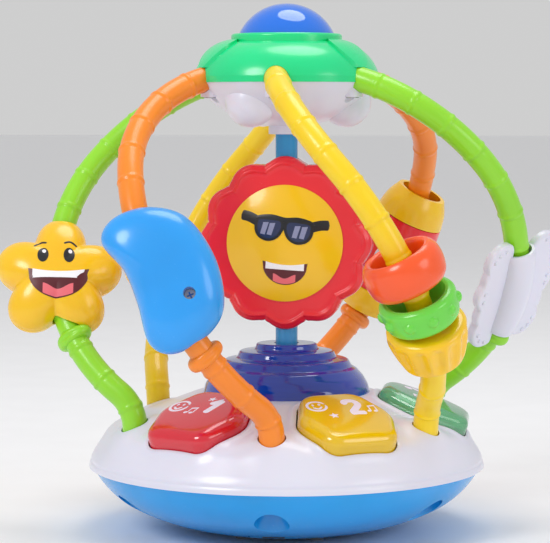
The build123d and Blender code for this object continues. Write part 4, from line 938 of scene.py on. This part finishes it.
button_spins = {"red": -30, "yellow": 30, "green": 90}
button_corners = [(-12, BUTTON_LENGTH), (-20.5, 0), (-14, -BUTTON_LENGTH), (14, -BUTTON_LENGTH), (20.5, 0),
                  (12, BUTTON_LENGTH)]
button_edge = softened(button_corners, 11.0, 200, loop=True) * 1.03


def edge_distance(x, z):
    """Distance outside a button's edge along the ray from its middle, in millimetres."""
    turn = np.unwrap(np.arctan2(button_edge[:, 1], button_edge[:, 0]))
    order = np.argsort(turn % (2 * np.pi))
    radius = np.interp(np.arctan2(z, x) % (2 * np.pi), (turn % (2 * np.pi))[order],
                       np.hypot(*button_edge.T)[order], period=2 * np.pi)
    return np.hypot(x, z) - radius


# %% Deck shell
deck_line = softened([(33.9, 57.9), (37, 57.9), SHOULDER, (RIM, 30.1), (RIM, PARTING)], 9.0, 130)
slope = np.gradient(deck_line, axis=0)
slope /= np.linalg.norm(slope, axis=1, keepdims=True)
DECK_WALL = 2.2
inside = (deck_line + np.stack([slope[:, 1], -slope[:, 0]], -1) * DECK_WALL)[::4]
inside[:, 1] = np.maximum(inside[:, 1], PARTING)
deck_out, deck_in = lathe(deck_line, 420), lathe(np.minimum(inside, [RIM - DECK_WALL, 60]), 420)
for foot in [about_z(line_points[-10:-9], -90 + 60 * k)[0] for k in range(6)]:
    near = np.linalg.norm((deck_out - foot)[..., :2], axis=-1) / MM
    deck_out[..., 2] += 2.0 * MM * np.exp(-(near / 10.5) ** 4)
for spin in button_spins.values():
    origin, axes = button_plane(spin)
    local = (deck_out - origin) @ axes.T / MM
    beyond = edge_distance(local[..., 0], local[..., 2])
    lip = 0.9 * np.exp(-((beyond - 2.0) / 1.5) ** 2) * (np.abs(local[..., 1]) < 14)
    deck_out[..., 2] += lip * MM
rim_step = np.exp(-((deck_out[..., 2] / MM - 29.6) / 0.5) ** 2)[..., None] * [1, 1, 0]
deck_out -= deck_out * rim_step * 0.004
deck = piece("moulded_deck", [(np.concatenate([deck_out, deck_in[::-1]]), False)], white_abs, "base",
             ["deck_shell"], sharp=40)
opening = raised(np.stack([button_edge * (1 + 0.45 / BUTTON_LENGTH)] * 2), np.array([[-16.0], [2.0]]))
button_cuts = [(put(button_plane(spin), upright(closed(opening) * MM)), False)
               for spin in button_spins.values()]
foot_bar = closed(bar(line_points[-26:], line_along[-26:], np.full((26, 1), 5.7 * MM)))
foot_cuts = [(about_z(foot_bar, -90 + 60 * k), False) for k in range(6)]
cut(deck, button_cuts + foot_cuts, 40)
print("deck faces:", len(deck.data.polygons))

# %% [markdown]
# ## Buttons and dome
# A button is a soft pillow: its side wall turns into the top over 4.5 mm, and the top is slightly crowned.
# The green one shows how they are made, a clear cap over a coloured body. The dome is turned from a
# stepped line whose corners are softened over 1.7 mm.


# %% Button caps
def crown(x, z):
    """Height of a button's crowned top over its plane, in millimetres."""
    return 0.9 * np.maximum(1 - (x ** 2 + z ** 2) / BUTTON_LENGTH ** 2, 0) - 0.4


def button_cap(inset=0.0, lower=0.0, roll=4.5):
    """Closed pillow of (x, z, height): bottom, side wall, rolled edge, crowned top."""
    bend = np.linspace(0, np.pi / 2, 14)
    draw = np.concatenate([[0.0, 0.0, 0.0], roll * (1 - np.cos(bend)), np.linspace(roll, 18, 16)[1:]])
    height = np.concatenate([[-13.0, -9.0, -roll - 0.2], roll * np.sin(bend) - roll, np.zeros(15)])
    size = np.hypot(*button_edge.T)
    draw, height = draw[:, None], height[:, None]
    radius = np.maximum(size - inset - draw * np.where(draw > roll, size / BUTTON_LENGTH, 1), 0)
    flat = button_edge[None] * (radius / size)[..., None]
    rise = height + crown(flat[..., 0], flat[..., 1]) * np.clip((height + roll) / roll, 0, 1) - lower
    bottom = -13.0 + 0.2 * lower    # a body stays inside its cap, clear of the rubber pad below
    top = np.concatenate([flat, np.maximum(rise, bottom)[..., None]], -1)
    ends = [np.broadcast_to([0, 0, level], (1, 200, 3)) for level in (bottom, 0.5 - lower)]
    return np.concatenate([ends[0], top, ends[1]]) * MM


for colour, finish in {"red": red_clear, "yellow": yellow_clear, "green": clear_cap}.items():
    piece(f"button_cap_{colour}", [(put(button_plane(button_spins[colour]), upright(button_cap())), False)],
          finish, f"button_{colour}", [f"button_{colour}"], sharp=60)
piece("button_body_green", [(put(button_plane(90), upright(button_cap(2.0, 2.2))), False)], green_clear,
      "button_green", sharp=60)

# %% Stepped dome
dome_outer = softened([(5.2, 78.2), (12.6, 78.2), (13.4, 75.6), (19.8, 75.0), (21.0, 72.2), (26.0, 71.4),
                       (27.6, 68.6), (29.5, 67.6), (32.4, 64.4), (34.4, 60.9), (35.3, 57.3)], 1.7, 150)
dome_inner = softened([(5.2, 76.2), (11.4, 76.2), (12.2, 73.6), (18.6, 73.0), (19.8, 70.2), (24.8, 69.4),
                       (26.4, 66.6), (28.0, 65.6), (30.6, 62.6), (32.2, 59.8), (33.2, 57.3)], 1.7, 60)
piece("stepped_dome", [(lathe(np.concatenate([dome_outer, dome_inner[::-1]]), 160), True)], navy_clear,
      "base", ["light_dome"], sharp=40)

# %% [markdown]
# ## The buttons' labels
# Each button carries a number, a pair of notes and a small star or face, printed under a clear skin. A
# label is strokes and patches on the button's plane, which lies on the sloping deck.


# %% Signs
def note_pair(x, z, size):
    """Two quavers under a beam."""
    s = size
    heads = [patch(oval(x + dx * s, z, 0.34 * s, 0.26 * s, 20), crown, rows=4) for dx in (0, 1.0)]
    stems = [stroke([(x + (dx + 0.28) * s, z), (x + (dx + 0.34) * s, z + 1.5 * s)], 0.2 * s, crown, count=12)
             for dx in (0, 1.0)]
    beam = stroke([(x + 0.2 * s, z + 1.4 * s), (x + 1.5 * s, z + 1.7 * s)], 0.36 * s, crown, count=12)
    return heads + stems + [beam]


def spark(x, z, size):
    """A five-pointed spark."""
    angle = np.linspace(0, 2 * np.pi, 11)[:-1] + np.pi / 2
    radius = np.where(np.arange(10) % 2 == 0, size, size * 0.45)
    return [patch([x, z] + radius[:, None] * rays(angle), crown, rows=3)]


def happy(x, z, size):
    """A round outline face with two eyes and a smile."""
    turn = np.linspace(0.3, 2 * np.pi + 0.1, 14)
    ring = [x, z] + size * rays(turn)
    bow = [(x - 0.5 * size, z - 0.2 * size), (x, z - 0.6 * size), (x + 0.5 * size, z - 0.2 * size)]
    lines = [stroke(ring, 0.3 * size, crown, count=60), stroke(bow, 0.25 * size, crown, count=16)]
    eyes = [oval(x + s * 0.35 * size, z + 0.25 * size, 0.13 * size, 0.2 * size) for s in (-1, 1)]
    return lines + [patch(eye, crown, rows=3) for eye in eyes]


def enlarged(grid, factor=1.3):
    """A sign spread about its button's middle by a factor and laid back on the crowned top."""
    wide = grid * [factor, 1, factor]
    change = crown(wide[..., 0] / MM, wide[..., 2] / MM) - crown(grid[..., 0] / MM, grid[..., 2] / MM)
    wide[..., 1] -= change * MM
    return wide


digits = {
    "1": [[(1.2, 4.0), (3.6, 6.6), (4.2, 7.0)], [(4.4, 7.2), (3.7, 2.5), (3.0, -1.6)]],
    "2": [[(0.6, 4.6), (1.9, 6.9), (4.6, 6.8), (5.2, 4.4), (3.2, 1.6), (0.8, -0.9)],
          [(0.6, -1.0), (3.2, -0.8), (6.0, -0.9)]],
    "3": [[(0.8, 6.2), (3.2, 7.2), (5.0, 5.4), (2.6, 3.2)],
          [(2.6, 3.2), (5.4, 1.6), (4.2, -1.0), (0.8, -0.6)]]}
signs = {"red": (-30, "1", note_pair(-3.6, -2.2, 2.0) + spark(0.2, 7.4, 1.5) + happy(-8.6, 1.6, 3.2)),
         "yellow": (30, "2", note_pair(7.6, 0.2, 2.2) + happy(-8.2, 5.2, 3.0) + spark(-5.2, -1.6, 1.6)),
         "green": (90, "3", note_pair(-9.0, 1.0, 2.2) + spark(8.6, 5.4, 1.7))}
for colour, (degrees, digit, extras) in signs.items():
    grids = [stroke(np.array(line) + [0.2, 0.2], 2.3, crown) for line in digits[digit]] + extras
    label = [(put(button_plane(degrees), enlarged(grid)), False) for grid in grids]
    piece(f"button_label_{colour}", label, label_ink, f"button_{colour}", sharp=60)

# %% [markdown]
# ## The studio
# A pale floor, a soft white surround, one large soft light above and two at the sides. The camera stands
# back with a long lens, a little above the middle of the toy, so the arches hardly converge.

# %% Floor, light and camera
floor_size = 12.0
floor_mesh = bpy.data.meshes.new("pale_floor")
floor_corners = [(x * floor_size, y * floor_size, 0) for x, y in ((-1, -1), (1, -1), (1, 1), (-1, 1))]
floor_mesh.from_pydata(floor_corners, [], [(0, 1, 2, 3)])
floor = bpy.data.objects.new("pale_floor", floor_mesh)
bpy.context.scene.collection.objects.link(floor)
floor_mesh.materials.append(moulded("pale studio floor", "F4F4F6", rough=0.6, drift=0.01))

world = bpy.data.worlds.new("soft white surround")
world.use_nodes = True
world.node_tree.nodes["Background"].inputs["Color"].default_value = (1, 1, 1, 1)
world.node_tree.nodes["Background"].inputs["Strength"].default_value = 0.62
bpy.context.scene.world = world
bpy.context.scene.view_settings.view_transform = "Standard"


def soft_light(name, place, aim, size, power):
    """Round soft light that looks at a point."""
    lamp = bpy.data.lights.new(name, "AREA")
    lamp.shape = "DISK"
    lamp.size, lamp.energy = size, power
    held = bpy.data.objects.new(name, lamp)
    bpy.context.scene.collection.objects.link(held)
    held.location = place
    held.rotation_euler = (Vector(aim) - Vector(place)).to_track_quat("-Z", "Y").to_euler()


soft_light("key softbox", (-0.7, -0.9, 0.9), (0, 0, 0.1), 0.5, 5.5)
soft_light("fill softbox", (1.0, -0.6, 0.5), (0, 0, 0.1), 0.6, 2.2)
soft_light("top softbox", (0.1, 0.2, 1.2), (0, 0, 0.1), 0.7, 4.5)

lens = bpy.data.cameras.new("camera")
lens.lens, lens.sensor_width, lens.shift_x = 149.15, 36.0, -0.0211
lens.clip_start = 0.05
camera = bpy.data.objects.new("camera", lens)
bpy.context.scene.collection.objects.link(camera)
CAMERA_TURN, CAMERA_REACH, CAMERA_HEIGHT, CAMERA_DIP = math.radians(6.07), 0.957, 0.1785, math.radians(4.2)
camera.location = (CAMERA_REACH * math.sin(CAMERA_TURN), -CAMERA_REACH * math.cos(CAMERA_TURN), CAMERA_HEIGHT)
camera.rotation_euler = (math.pi / 2 - CAMERA_DIP, 0, CAMERA_TURN)
bpy.context.scene.camera = camera
